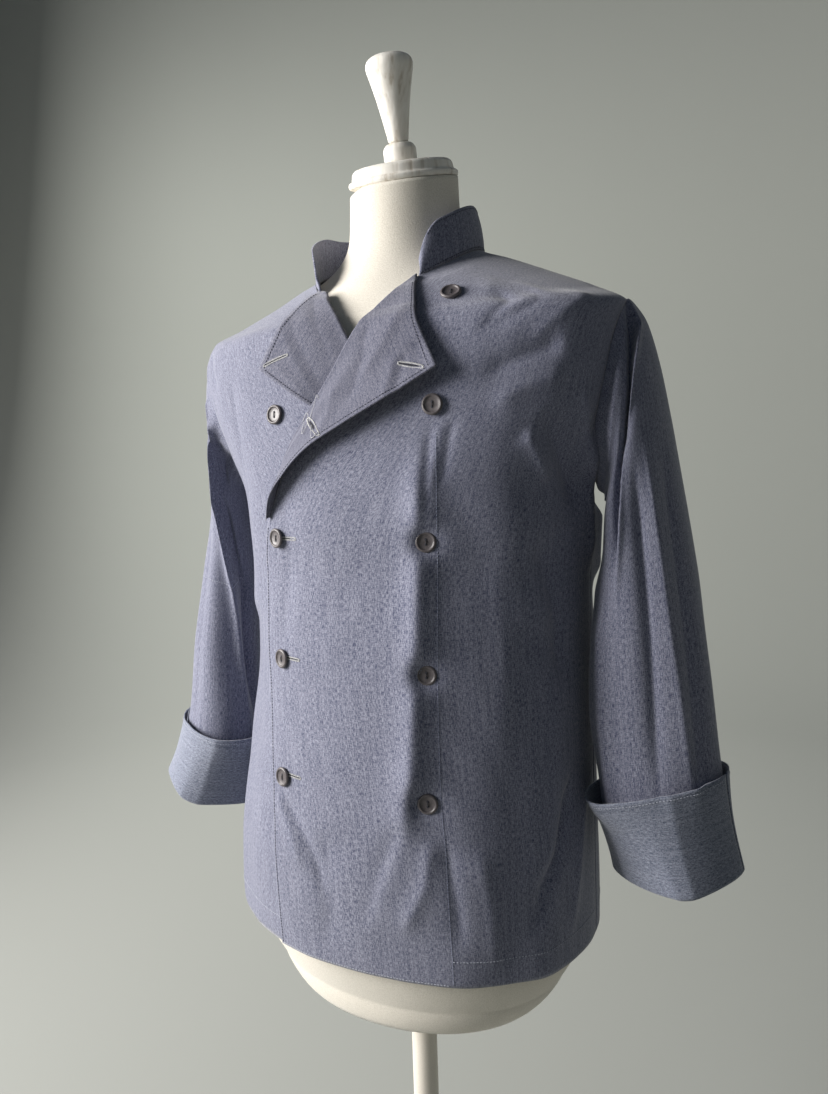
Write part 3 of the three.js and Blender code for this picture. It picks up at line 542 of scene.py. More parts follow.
def drape_at(turn, height):
    """How far the soft folds lift the cloth. They start quickly at the hem and end slowly above."""
    total = np.zeros_like(turn)
    for fold in DRAPES:
        low, high = fold["low"], fold["high"]
        middle = fold["turn"] + fold["lean"] * (height - low) / 100
        rise = soften(height, low, low + DRAPE_START) * (1 - soften(height, high - DRAPE_END, high))
        total += fold["out"] * np.exp(-(((turn - middle) / fold["width"]) ** 2)) * rise
    return total


# The buttons hold the cloth flat round them: rows by label, height, distance from the middle and how
# far the left one's seat is off the usual one.
BUTTON_ROWS = [
    ("5", 185, 82, 0), ("4", 308, 82, -0.8), ("3", 432, 82, 0), ("2", 556, 88, 0), ("1", 661, 94, -0.3),
]
BUTTON_HOLD, NECK_HOLD = 15, 60


# The armhole seams pull the cloth in along their line.
SEAM_DIP, SEAM_DIP_SPREAD = 2, 0.07


def cloth_point(turn, height, out):
    """Points of the jacket's cloth, moved out of the body's surface."""
    turn, height = np.broadcast_arrays(np.asarray(turn, float), np.asarray(height, float))
    spot = ring_point(turn, height)
    held = np.ones_like(turn)
    for _, row, across, _ in BUTTON_ROWS:
        for side in (-1, 1):
            far = (spot[..., 0] - side * across) ** 2 + (spot[..., 2] - HEM_HEIGHT - row) ** 2
            held *= np.where(spot[..., 1] < 0, 1 - np.exp(-far / BUTTON_HOLD**2), 1)
    free = soften(SIDE_NECK - height, 0, NECK_HOLD)
    deep = np.where(spot[..., 1] < 0, ARM_FRONT, ARM_BACK)
    behind = spot[..., 1] - read(BODY, "middle", height)
    from_arm = np.hypot(behind / deep, (height - ARM_LOW) / ARM_RISE) - 1
    lift = out + drape_at(turn, height) - SEAM_DIP * np.exp(-np.maximum(0, from_arm) / SEAM_DIP_SPREAD)
    lift += held * free * (creased(CREASES, turn, height, ARC, 1) + ripple_at(turn, height))
    return spot + body_outward(turn, height) * lift[..., None]


def side_turn(height, distance, facing, side):
    """The turn of a ring at a distance before (-1) or behind (1) the side line."""
    depth = read(BODY, "front" if facing < 0 else "back", height)
    turn = facing * np.degrees(np.arcsin((distance / depth) ** (read(BODY, "power", height) / 2)))
    return turn if side > 0 else math.copysign(180, facing) - turn


def armhole_spot(angle, facing, side, margin):
    """Spots on the armhole at an angle from its lowest point, moved into the hole by a margin."""
    height = ARM_LOW - (ARM_RISE - margin) * np.cos(angle)
    deep = ARM_FRONT if facing < 0 else ARM_BACK
    distance = np.maximum(SEAM / 2, (deep - margin) * np.sin(angle))
    return side_turn(height, distance, facing, side), height


def stretches(counts, up):
    """How far a height of 0 to 1 is along each of several stretches of rows."""
    row = up * sum(counts)
    ends = np.cumsum(counts)
    return [np.clip((row - end + count) / count, 0, 1) for count, end in zip(counts, ends)], row, ends


BACK_ROWS = (120, 84, 30)


def back_edge(up, side):
    """The back's side seam, then its half of the armhole, then the shoulder seam."""
    (low, arm, shoulder), row, ends = stretches(BACK_ROWS, up)
    arm_turn, arm_height = armhole_spot(math.pi * arm, 1, side, 0)
    above = mix(ARM_LOW + ARM_RISE, SIDE_NECK, shoulder)
    height = np.where(row < ends[0], mix(0, ARM_LOW - ARM_RISE, low), above)
    on_arm = (row >= ends[0]) & (row <= ends[1])
    height = np.where(on_arm, arm_height, height)
    return np.where(on_arm, arm_turn, side_turn(height, SEAM / 2, 1, side)), height


def between(first, second, across):
    """Spots across a panel, from its first edge to its second."""
    return mix(first[0], second[0], across), mix(first[1], second[1], across)


def back_surface(across, up):
    turn, height = between(back_edge(up, 1), back_edge(up, -1), across)
    return cloth_point(turn, height, 0)


def chambray(name, warp_colour, weft_colour, turned_cloth=False):
    """Chambray: dark blue warp and pale weft, seen as fine flecks and short slubs along both."""
    material, nodes, links, shader = plain_material(name, warp_colour, 0.85)
    shader.inputs["Sheen Weight"].default_value = 0.3
    shader.inputs["Sheen Roughness"].default_value = 0.5
    shader.inputs["Specular IOR Level"].default_value = 0.25
    (uv,) = add_nodes(nodes, "UVMap")
    uv.uv_map = "grain"

    def threads(along_u, along_v, detail):
        (stretch,) = add_nodes(nodes, "Mapping")
        scale = (along_v, along_u, 1) if turned_cloth else (along_u, along_v, 1)
        stretch.inputs["Scale"].default_value = scale
        links.new(uv.outputs["UV"], stretch.inputs["Vector"])
        return noise_on(nodes, links, stretch.outputs["Vector"], 1, detail)

    def combine(kind, first, second):
        (maths,) = add_nodes(nodes, "Math")
        maths.operation = kind
        for socket, value in zip(maths.inputs, (first, second)):
            if isinstance(value, (int, float)):
                socket.default_value = value
            else:
                links.new(value, socket)
        return maths.outputs[0]

    # Threads to the metre across and along the cloth, and how broken up they are.
    warp = threads(1500, 260, 3)
    weft = threads(260, 1500, 3)
    fleck = threads(1300, 1300, 2)
    slub = threads(420, 22, 3)
    yarns = combine("ADD", combine("MULTIPLY", warp, 0.42), combine("MULTIPLY", weft, 0.24))
    mottle = combine("ADD", combine("MULTIPLY", fleck, 0.2), combine("MULTIPLY", slub, 0.14))
    blend = combine("ADD", yarns, mottle)
    tinted(nodes, links, shader, blend, [(0.42, warp_colour), (0.58, weft_colour)])
    relief(nodes, links, shader, blend, distance=0.0002, strength=0.5)
    return material


WARP_BLUE, WEFT_PALE = (0.042, 0.05, 0.1), (0.272, 0.279, 0.35)
face_cloth = chambray("chambray", WARP_BLUE, WEFT_PALE)


def dress(name, node, shape, material, thick=CLOTH):
    """A sewn piece of cloth: its wall lies inside its outer face, and it hangs on the form."""
    made = show(name, shape, material)
    wall = made.modifiers.new("wall", "SOLIDIFY")
    wall.thickness = thick / 1000
    wall.offset = -1
    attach(made, "root")
    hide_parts(node)


shape = moved_grid(124, sum(BACK_ROWS), back_surface, (0.64, 0.74))
dress("back_panel", "back", shape, face_cloth)


# Jacket fronts: the outer one, on the wearer's left, laps over the inner one down to the hem. Each is
# one panel from its edge, the lapel's fold line and the neck to the side, armhole and shoulder seams.
NECK_END = -54
BREAK_HEIGHT = 444
LAY, FOLD_GAP, SINK = 1, 1.6, 2.5
FRONT_EDGE = table(
    "height across", [(0, -93), (130, -97), (220, -104), (320, -109), (400, -107), (444, -97)],
)
FOLD_LINE = table(
    "height across",
    [(444, -97), (493, -75), (522, -60), (554, -38), (589, -15), (622, 4), (646, 20), (664, 36), (684, 52)],
)
FRONT_ROWS = (120, 66, 18)
FRONT_ARM_ROWS = (120, 84)
# Where the outer front's lap fades out to its own side, the heights over which the inner lapel under
# it ends and begins, and how much more than one layer it covers there.
LAP_FADE, SINGLE_FROM, FOLDED_FROM, FOLDED = (-40, -14), (625, 675), (390, 450), 1.8
SINK_FADE = (4, 30)
SPOT_STEPS = 26


def outer_lap(turn, height):
    """The outer front lies over the inner one and, below the lapels' crossing, over its lapel too."""
    overlap = 1 - soften(turn, *LAP_FADE)
    single = 1 - soften(height, *SINGLE_FROM)
    folded = soften(height, *FOLDED_FROM) * single
    return overlap * (LAY + CAD_CLOTH) * (single + folded * FOLDED)


def inner_lap(turn, height):
    """The inner front sinks a little where the outer one hides it."""
    spot = ring_point(turn, height)
    up = spot[..., 2] - HEM_HEIGHT
    edge = np.where(up < BREAK_HEIGHT, read(FRONT_EDGE, "across", up), read(FOLD_LINE, "across", up))
    return -SINK * soften(spot[..., 0] - edge, *SINK_FADE)


def spot_at(x, height):
    """The spots, as turn and height, where the front of the body has the given x and height."""
    x, height = np.broadcast_arrays(np.asarray(x, float), np.asarray(height, float))

    def turn_at(up):
        across = (x - read(BODY, "shift", up)) / read(BODY, "half", up)
        return -np.degrees(np.arccos(signed_power(np.clip(across, -1, 1), read(BODY, "power", up) / 2)))

    low, high = np.zeros_like(height), np.full_like(height, SIDE_NECK)
    for _ in range(SPOT_STEPS):
        middle = (low + high) / 2
        below = ring_point(turn_at(middle), middle)[..., 2] - HEM_HEIGHT < height
        low, high = np.where(below, middle, low), np.where(below, high, middle)
    return turn_at(low), low


def line_spot(part, side, shift=0):
    """Spots on the lapel's fold line, shifted a little into the panel."""
    height = mix(BREAK_HEIGHT, FOLD_LINE["height"][-1], part)
    return spot_at(side * (read(FOLD_LINE, "across", height) + shift), height)


def where_row(row, ends, *choices):
    """Picks a stretch's spots for each row, from lists of (turn, height)."""
    picked = [np.select([row <= end for end in ends], [choice[i] for choice in choices]) for i in (0, 1)]
    return picked[0], picked[1]


def front_opening(up, side):
    """A front's free side: its edge, then the lapel's fold line, then the neck."""
    (low, fold, neck), row, ends = stretches(FRONT_ROWS, up)
    height = mix(0, BREAK_HEIGHT, low)
    edge = spot_at(side * read(FRONT_EDGE, "across", height), height)
    turn = mix(NECK_END, -0.1, neck)
    top_line = (turn if side > 0 else -180 - turn, np.full_like(turn, SIDE_NECK))
    return where_row(row, ends, edge, line_spot(fold, side, SEAM * 1.4), top_line)


def front_side(up, side):
    """A front's outer side: the side seam, then its half of the armhole."""
    (low, arm), row, ends = stretches(FRONT_ARM_ROWS, up)
    height = mix(0, ARM_LOW - ARM_RISE, low)
    seam = (side_turn(height, SEAM / 2, -1, side), height)
    return where_row(row, ends, seam, armhole_spot(math.pi * arm, -1, side, 0))


def front_surface(side, out_at):
    def surface(across, up):
        turn, height = between(front_opening(up, side), front_side(up, side), across)
        return cloth_point(turn, height, out_at(turn, height))
    return surface


outer_front = front_surface(1, outer_lap)
inner_front = front_surface(-1, inner_lap)
for name, node, surface in (
    ("outer_front_panel", "front_left", outer_front),
    ("inner_front_panel", "front_right", inner_front),
):
    shape = moved_grid(124, sum(FRONT_ROWS), surface, (0.38, 0.72))
    if node == "front_right":
        bmesh.ops.reverse_faces(shape, faces=shape.faces)
    dress(name, node, shape, face_cloth)


# Lapels: the top corners of both fronts, faced with the same cloth and turned back at the fold line.
# The outer one's free edge stands off the chest, and it reaches over the inner one.
LAPEL_EDGE = table(
    "height across", [(444, -97), (470, -84), (493, -62), (517, -34), (539, 7), (563, 52), (588, 95)],
)
LAPEL_CORNER = 588
RIGHT_CORNER_ACROSS, RIGHT_CORNER_UP = 6, 12
LAPEL_LIFT = {1: 9, -1: 5}
LAPEL_ROLL, LAPEL_START, LAPEL_TUCK_END = 3, 0.04, 0.2
LAPEL_BOW = {1: -5, -1: 8}
LAPEL_CLEAR = {1: (0, 0.3), -1: (0.6, 0.85)}
# Creases of the lapels, as on the body: the spots are how far they are across and up the lapel.
LAPEL_CREASES = {
    1: [
        (7, 1.2, [(0.6, 0.9), (0.8, 0.85), (1.05, 0.79)]),
        (7, -1.2, [(0.66, 0.93), (0.84, 0.885), (1.05, 0.84)]),
        (14, 1.7, [(0.2, 1), (0.42, 0.87), (0.62, 0.7)]),
        (13, -1.7, [(0.02, 0.84), (0.35, 0.78), (0.8, 0.67)]),
        (12, 1.4, [(0.25, 0.62), (0.6, 0.61), (1, 0.55)]),
        (12, -1.2, [(0.9, 1), (0.86, 0.95), (0.6, 0.98)]),
    ],
    -1: [
        (9, 0.9, [(0.56, 1.02), (0.66, 0.93), (0.8, 0.8), (0.9, 0.7)]),
        (10, -0.7, [(0.42, 1.02), (0.54, 0.92), (0.66, 0.8), (0.76, 0.7)]),
        (8, 0.9, [(0.9, 0.95), (0.88, 0.84), (1, 0.74)]),
        (13, -1, [(0.1, 1), (0.26, 0.88), (0.4, 0.74)]),
    ],
}
LAPEL_ACROSS, LAPEL_TALL, LAPEL_WAVE, FOLD_STEP = 100, 230, 1.2, 0.01
CURL_COLUMNS, FLAT_COLUMNS, LAPEL_ROWS = 10, 56, 110


def lapel_flat(side, out_at, part, across, over=0):
    """Points of the lapel's flat part: across is 0 at the fold line and 1 at its free edge."""
    shift = 0 if side > 0 else part * part
    fold_height = mix(BREAK_HEIGHT, FOLD_LINE["height"][-1], part)
    free_height = mix(BREAK_HEIGHT, LAPEL_CORNER, part)
    free = read(LAPEL_EDGE, "across", free_height) + RIGHT_CORNER_ACROSS * shift
    x = side * mix(read(FOLD_LINE, "across", fold_height), free, across)
    bow = LAPEL_BOW[side] * np.sin(math.pi * across) * part**4
    turn, height = spot_at(x, mix(fold_height, free_height + RIGHT_CORNER_UP * shift, across) + bow)
    clear = soften(part, *LAPEL_CLEAR[side])
    wave = LAPEL_WAVE * np.sin(5.5 * part + 3 * across) * across * across
    wave += creased(LAPEL_CREASES[side], across, part, LAPEL_ACROSS, LAPEL_TALL) * soften(across, 0, 0.2)
    lift = (LAPEL_ROLL * soften(across, 0, 0.35) + LAPEL_LIFT[side] * across**2 + wave) * clear
    return cloth_point(turn, height, out_at(turn, height) + FOLD_GAP + CAD_CLOTH + lift + over)


facing_cloth = chambray("chambray_facing", (0.03, 0.036, 0.074), (0.2, 0.2, 0.25), turned_cloth=True)


def lapel_surface(side, out_at):
    radius = FOLD_GAP / 2 + CAD_CLOTH

    def surface(across, up):
        part = np.maximum(LAPEL_START, up)
        column = across * (CURL_COLUMNS + FLAT_COLUMNS)
        turn, height = line_spot(part, side)
        along = (ring_point(*line_spot(np.minimum(1, part + FOLD_STEP), side))
                 - ring_point(*line_spot(np.maximum(0, part - FOLD_STEP), side)))
        normal = body_outward(turn, height)
        away = unit(np.cross(unit(along), normal)) * -side
        centre = cloth_point(turn, height, out_at(turn, height) + FOLD_GAP / 2)
        centre -= away * (radius * (1 - soften(part, LAPEL_START, LAPEL_TUCK_END)))[:, None]
        angle = (math.pi * np.clip(column / CURL_COLUMNS, 0, 1))[:, None]
        curl = centre - normal * radius * np.cos(angle) + away * radius * np.sin(angle)
        flat = lapel_flat(side, out_at, part, np.clip((column - CURL_COLUMNS) / FLAT_COLUMNS, 0, 1))
        return np.where((column <= CURL_COLUMNS)[:, None], curl, flat)
    return surface


for name, node, side, out_at in (
    ("outer_lapel", "lapel_left", 1, outer_lap),
    ("inner_lapel", "lapel_right", -1, inner_lap),
):
    shape = moved_grid(CURL_COLUMNS + FLAT_COLUMNS, LAPEL_ROWS, lapel_surface(side, out_at), (0.16, 0.3))
    if side < 0:
        bmesh.ops.reverse_faces(shape, faces=shape.faces)
    dress(name, node, shape, facing_cloth)


# Stand collar: a double band of the same cloth round the neck seam, its front ends rounded.
COLLAR_INSET, COLLAR_ROUND, COLLAR_THICK, COLLAR_TUCK = 3, 15, 2, 1.4
COLLAR_SHAPE = table(
    "turn height lean", [(-51, 45, 6), (0, 45, 8), (90, 45, 1), (180, 42, -1), (231, 38, -4)],
)
COLLAR_START = NECK_END + COLLAR_INSET
COLLAR_LAST = 180 - COLLAR_START
COLLAR_MIDDLE, COLLAR_END_TALL, COLLAR_ROOT_PART = 12, 0.12, 0.06
COLLAR_TURN_STEP, COLLAR_RISE_STEP = 0.6, 0.02


def collar_point(turn, part, over=0):
    """Points of the collar, from its base at part 0 to its upper edge at 1."""
    def surface(turn, part):
        ends = np.clip(np.minimum(turn - COLLAR_START, COLLAR_LAST - turn) / COLLAR_ROUND, 0, 1)
        rounded = COLLAR_END_TALL + (1 - COLLAR_END_TALL) * (1 - (1 - ends) ** 2)
        tall = read(COLLAR_SHAPE, "height", turn) * np.sqrt(rounded)
        base = cloth_point(turn, np.full_like(turn, SIDE_NECK), 0)
        inward = unit(np.stack([-base[:, 0], COLLAR_MIDDLE - base[:, 1], np.zeros_like(turn)], -1))
        base[:, 2] += SEAM + tall * part - COLLAR_TUCK * (1 - soften(part, 0, COLLAR_ROOT_PART))
        return base + inward * (read(COLLAR_SHAPE, "lean", turn) * part * part)[:, None]
    out = outward(surface, turn, part, COLLAR_TURN_STEP, COLLAR_RISE_STEP)
    out[:, 2] = 0
    tucked = over - COLLAR_TUCK * (1 - soften(part, 0, COLLAR_ROOT_PART))
    return surface(turn, part) + unit(out) * tucked[:, None]


def collar_surface(across, up):
    return collar_point(mix(COLLAR_START, COLLAR_LAST, across), up)


shape = moved_grid(160, 20, collar_surface, (0.48, 0.045))
dress("stand_collar", "collar", shape, face_cloth, thick=COLLAR_THICK)


# Sleeves: tubes from the armhole to the turn of the cuff, empty and hanging a little away from the
# body. The cloth drops from the shoulder in one deep fold beside the front of the armhole seam.
SLEEVE_COLUMNS = "travel outer outer_z inner inner_z middle deep power lean"
SLEEVES = {
    1: table(SLEEVE_COLUMNS, [
        (0, 243, 655, 207, 483, 5, 47, 2, 0),
        (0.05, 252, 643, 213, 480, 4, 50, 2, 0),
        (0.12, 262, 618, 222, 474, 3, 53, 2, 0),
        (0.2, 271, 582, 224, 462, 2, 54, 2, 0.05),
        (0.3, 280, 530, 222, 436, 0, 55, 2, 0.1),
        (0.4, 291, 467, 220, 396, -2, 55, 2, 0.1),
        (0.52, 304, 392, 218, 346, -4, 54, 2, 0.1),
        (0.65, 318, 302, 215, 274, -6, 51, 2, 0.1),
        (0.8, 331, 201, 218, 170, -10, 48, 2, 0.1),
        (0.88, 338, 160, 221, 136, -11, 50, 1.7, 0),
        (1, 351, 107, 230, 86, -12, 56, 1.42, -0.15),
    ]),
    -1: table(SLEEVE_COLUMNS, [
        (0, 236, 655, 205, 483, 5, 47, 2, 0),
        (0.05, 249, 641, 213, 479, 7, 46, 2, 0),
        (0.12, 256, 613, 219, 470, 9, 44, 2, 0),
        (0.2, 256, 576, 220, 455, 12, 44, 2, 0),
        (0.3, 260, 522, 221, 428, 14, 43, 2, 0),
        (0.4, 264, 460, 221, 392, 14, 44, 2, 0),
        (0.52, 280, 386, 224, 346, 11, 45, 2, 0.05),
        (0.65, 298, 298, 228, 272, 5, 46, 2, 0.1),
        (0.8, 315, 190, 222, 170, -4, 46, 2, 0.1),
        (0.88, 328, 154, 222, 132, -8, 48, 1.7, 0),
        (1, 347, 114, 228, 82, -10, 54, 1.48, -0.1),
    ]),
}
# Creases of the sleeves, as on the body: the spots are the angle around the sleeve (0 outer, 90 back,
# 180 inner, 270 front) and the travel down it.
SLEEVE_CREASES = {
    1: [
        (8, -24, [
            (352, -0.06), (338, 0.02), (328, 0.062), (304, 0.096), (286, 0.147), (268, 0.24),
            (254, 0.352), (246, 0.47),
        ]),
        (6, 9, [
            (358, -0.04), (345, 0.03), (333, 0.085), (314, 0.112), (299, 0.134), (274, 0.22),
            (260, 0.39), (246, 0.53),
        ]),
        (16, 4, [(312, 0.045), (262, 0.09), (222, 0.15)]),
        (18, 9, [(186, 0.03), (195, 0.11), (202, 0.22)]),
        (20, 12, [(158, -0.02), (154, 0.1), (160, 0.26)]),
        (22, 5, [(220, 0.46), (224, 0.66), (230, 0.88)]),
        (26, 8, [(196, 0.36), (202, 0.56), (204, 0.8)]),
        (12, -7, [(289, 0.28), (285, 0.58), (280, 0.84)]),
        (10, 5, [(309, 0.26), (307, 0.59), (314, 0.88)]),
        (12, -5, [(334, 0.28), (327, 0.6), (320, 0.86)]),
        (18, -8, [(108, 0.08), (110, 0.35), (114, 0.64)]),
        (34, 9, [(138, 0.22), (140, 0.6), (138, 0.98)]),
        (14, -5, [(60, 0.1), (68, 0.45), (70, 0.8)]),
        (12, 4, [(84, 0.14), (92, 0.4), (96, 0.74)]),
        (15, 3, [(40, 0.2), (28, 0.42), (24, 0.64)]),
    ],
    -1: [
        (10, 13, [
            (262, -0.02), (265, 0.08), (268, 0.2), (262, 0.324), (247, 0.4), (224, 0.513),
            (213, 0.59), (188, 0.82),
        ]),
        (13, -12, [(250, 0.25), (230, 0.4), (204, 0.52), (196, 0.6), (164, 0.84)]),
        (9, -5, [(292, 0.15), (268, 0.136), (246, 0.07), (238, 0.05)]),
        (9, 3, [(300, 0.1), (276, 0.1), (258, 0.08)]),
        (13, -10, [(212, -0.04), (230, 0.06), (240, 0.15), (246, 0.27)]),
        (10, 5, [(284, 0.15), (274, 0.25), (264, 0.36)]),
        (22, -3, [(300, 0.38), (296, 0.6), (294, 0.86)]),
        (18, 3, [(325, 0.18), (322, 0.5), (320, 0.82)]),
        (18, -8, [(110, 0.08), (106, 0.35), (108, 0.64)]),
        (34, 6, [(136, 0.22), (140, 0.6), (138, 0.98)]),
        (14, -5, [(66, 0.12), (60, 0.45), (58, 0.78)]),
        (12, 4, [(88, 0.18), (92, 0.45), (90, 0.72)]),
    ],
}
AROUND_ARC, SLEEVE_LENGTH = 1, 560
SEAM_RIDGE, RIDGE_RISE, RIDGE_FALL = 1.6, (0, 0.014), (0.02, 0.06)
JOIN_OVER = (-0.02, 0.09)
SLEEVE_END, SLEEVE_CROWDING = 0.985, 1.15
AROUND_STEP, TRAVEL_STEP = 2, 0.006
# The sleeve's first row is its seam allowance, under the edge of the body's cloth.
ALLOWANCE, ALLOWANCE_DEPTH, SEAM_ROW = 3, 2, 0.004


def armhole_seam(side, angle, margin, out):
    """Points on the armhole for an angle around the sleeve, moved out of the hole's edge and cloth."""
    from_bottom = math.pi - np.arccos(np.cos(angle))
    front, back = (
        cloth_point(*armhole_spot(from_bottom, facing, side, margin), out) for facing in (-1, 1)
    )
    return np.where((np.sin(angle) < 0)[..., None], front, back)


def sleeve_point(side, around, travel):
    """Points of a sleeve's outer face; side -1 is the wearer's right arm."""
    around, travel = np.broadcast_arrays(np.asarray(around, float), np.asarray(travel, float))
    sections = SLEEVES[side]
    at = {name: read(sections, name, travel) for name in sections if name != "travel"}
    angle = np.radians(around)
    power = 2 / at["power"]
    part = (1 + signed_power(np.cos(angle), power)) / 2
    back = signed_power(np.sin(angle), power) * at["deep"]
    point = np.stack([
        side * (mix(at["inner"], at["outer"], part) + at["lean"] * back),
        at["middle"] + back,
        HEM_HEIGHT + mix(at["inner_z"], at["outer_z"], part),
    ], -1)
    seam = armhole_seam(side, angle, SEAM, -CAD_CLOTH / 2)
    relief = sum(
        creased(SLEEVE_CREASES[side], around % 360 + turn, travel, AROUND_ARC, SLEEVE_LENGTH)
        for turn in (-360, 0, 360)
    )
    middle = np.stack([
        side * (at["inner"] + at["outer"]) / 2,
        at["middle"],
        HEM_HEIGHT + (at["inner_z"] + at["outer_z"]) / 2,
    ], -1)
    away = unit(point - middle)
    joined = mix(seam, point + away * relief[..., None], soften(travel, *JOIN_OVER)[..., None])
    ridge = SEAM_RIDGE * soften(travel, *RIDGE_RISE) * (1 - soften(travel, *RIDGE_FALL))
    return joined + away * ridge[..., None]


def sleeve_out(side, around, travel, out):
    """Points moved out of a sleeve's surface."""
    def surface(around, travel):
        return sleeve_point(side, around, travel)

    place = np.clip(travel, TRAVEL_STEP, 1 - TRAVEL_STEP)
    normal = outward(surface, around, place, AROUND_STEP, TRAVEL_STEP) * -side
    return surface(around, travel) + normal * np.asarray(out)[..., None]


def sleeve_surface(side):
    def surface(across, up):
        around = 360 * across
        points = sleeve_out(side, around, SLEEVE_END * up**SLEEVE_CROWDING, np.zeros_like(up))
        under = armhole_seam(side, np.radians(around), -ALLOWANCE, -ALLOWANCE_DEPTH)
        return np.where((up < SEAM_ROW)[:, None], under, points)
    return surface


for name, node, side, area in (
    ("left_sleeve", "sleeve_left", 1, 0.15),
    ("right_sleeve", "sleeve_right", -1, 0.135),
):
    shape = moved_grid(164, 176, sleeve_surface(side), (0.38, 0.52), closed=True)
    if side > 0:
        bmesh.ops.reverse_faces(shape, faces=shape.faces)
    dress(name, node, shape, face_cloth)


# Cuffs: the sleeves' ends turned back to show the wrong side, stood a little off the sleeve, with an
# open slit on the outer side and a stitched top edge.
CUFF_START, CUFF_SLIT, CUFF_GAP, CUFF_STAND, CUFF_LEG = 0.8, 352, 3, 4, 0.06
BULGE_AROUND, BULGE_WIDTH, BULGE_OUT = 228, 42, 13
# The cuff's lower corner, where the sleeve's crease runs out of it, and where its turned edge dips or
# rises: angle, width in degrees and millimetres up.
CORNER_AROUND, CORNER_WIDTH, CORNER_OUT, CORNER_FALL = {1: 290, -1: 245}, 20, 2.5, 1.5
CUFF_EDGE = {1: [(290, 20, -2)], -1: [(245, 18, -2), (308, 26, 10)]}
LEG_ROWS, TURN_ROWS, INSIDE_ROWS, LEG_LEAST = 40, 8, 8, 0.02


def turned_from(angle, start):
    """How far an angle is turned from another one, between -180 and 180."""
    return (angle - start + 180) % 360 - 180


def cuff_point(side, around, down, over=0):
    """Points of a cuff: down is 0 at its stitched edge, 1 where it turns, then 2 and 3 inside."""
    turn_radius = CAD_CLOTH + LAY
    centre = -CAD_CLOTH / 2
    outer = turn_radius + CAD_CLOTH / 2 + over
    leg = np.clip(1 - down, LEG_LEAST, 1)
    turned = turned_from(around, BULGE_AROUND) / BULGE_WIDTH
    corner = np.exp(-CORNER_FALL * np.abs(turned_from(around, CORNER_AROUND[side]) / CORNER_WIDTH))
    raised = sum(
        up * np.exp(-((turned_from(around, place) / width) ** 2)) for place, width, up in CUFF_EDGE[side]
    )
    stand = (CUFF_STAND + BULGE_OUT * np.exp(-turned * turned)) * leg**2 + CORNER_OUT * corner
    on_leg = sleeve_out(side, around, mix(1, CUFF_START, leg), centre + outer + stand)
    on_leg[..., 2] += raised * (1 - leg) ** 2
    end = sleeve_out(side, around, np.ones_like(around), CORNER_OUT * corner)
    end[..., 2] += raised
    edge = sleeve_point(side, around, np.ones_like(around))
    normal = sleeve_out(side, around, np.ones_like(around), np.ones_like(around)) - edge
    below = unit(edge - sleeve_point(side, around, np.full_like(around, 1 - TRAVEL_STEP)))
    angle = math.pi * np.clip(down - 1, 0, 1)
    bend = (end + normal * (centre + outer * np.cos(angle))[:, None]
            + below * (outer * np.sin(angle))[:, None])
    inside = sleeve_out(
        side, around, 1 - CUFF_LEG * np.clip(down - 2, 0, 1), np.full_like(around, centre - outer),
    )
    return np.where((down <= 1)[:, None], on_leg, np.where((down <= 2)[:, None], bend, inside))


def cuff_around(across):
    return CUFF_SLIT + CUFF_GAP / 2 + (360 - CUFF_GAP) * across


def cuff_surface(side):
    def surface(across, up):
        (leg, bend, inside), *_ = stretches((LEG_ROWS, TURN_ROWS, INSIDE_ROWS), up)
        return cuff_point(side, cuff_around(across), leg + bend + inside)
    return surface


cuff_cloth = chambray("chambray_wrong_side", (0.05, 0.065, 0.11), (0.3, 0.32, 0.39), turned_cloth=True)
for name, node, side in (("left_cuff", "cuff_left", 1), ("right_cuff", "cuff_right", -1)):
    shape = moved_grid(150, LEG_ROWS + TURN_ROWS + INSIDE_ROWS, cuff_surface(side), (0.36, 0.16))
    if side > 0:
        bmesh.ops.reverse_faces(shape, faces=shape.faces)
    dress(name, node, shape, cuff_cloth)


# Buttons: grey-brown polyester with a raised rim, a dished middle and two holes, sewn on with thread.
# The holes are not cut: each one is a flat near-black disc of painted shade.
# The left column is on the outer front. The right one shows through it below the lapels.
BUTTON_RADIUS, BUTTON_THICK, HOLE_RADIUS, HOLE_PLACE = 10, 3.4, 1.3, 2.4
# The holes are discs of painted shade: how deep they sit in the dished middle and how flat they are.
HOLE_DEEP, HOLE_FLATTEN = 0.00135, (1, 1, 0.14, 1)
THREAD_DEEP, THREAD_FLATTEN = 0.0009, (0.13, 1, 0.2, 1)

polyester, _ = mottled(
    "grey_brown_polyester", (0.09, 0.08, 0.083), 0.42, scale=260, distance=0.0001,
    colours=[(0.3, (0.07, 0.061, 0.064)), (0.7, (0.115, 0.102, 0.106))],
)
# Near black: the thread's own colour, and painted shade where it stands for the holes.
thread_and_hole_shade, *_ = plain_material("thread_and_hole_shade", (0.03, 0.03, 0.04), 0.8)


def button_frame(x, height, seat, out_at):
    """Where a button sits: its place and axes, facing out of its front's cloth."""
    turn, level = (value.reshape(1) for value in spot_at([x], [height]))
    normal = body_outward(turn, level)[0]
    side = unit(np.cross([0, 0, 1], normal))
    place = (ring_point(turn, level) + body_outward(turn, level) * (
        out_at(turn, level) + drape_at(turn, level) + SEAM + seat
    )[:, None])[0]
    axes = Matrix([side, np.cross(normal, side), normal]).transposed().to_4x4()
    return Matrix.Translation(Vector(place) / 1000) @ axes


def hole_shade_and_thread_bead(shape, radius, matrix, around, tall):
    """A flattened ball in the button's second material: a disc of painted shade for a hole, or the thread
    between the holes.
    """
    bead = bmesh.ops.create_uvsphere(
        shape, u_segments=around, v_segments=tall, radius=radius / 1000, matrix=matrix,
    )
    for vert in bead["verts"]:
        for face in vert.link_faces:
            face.material_index = 1


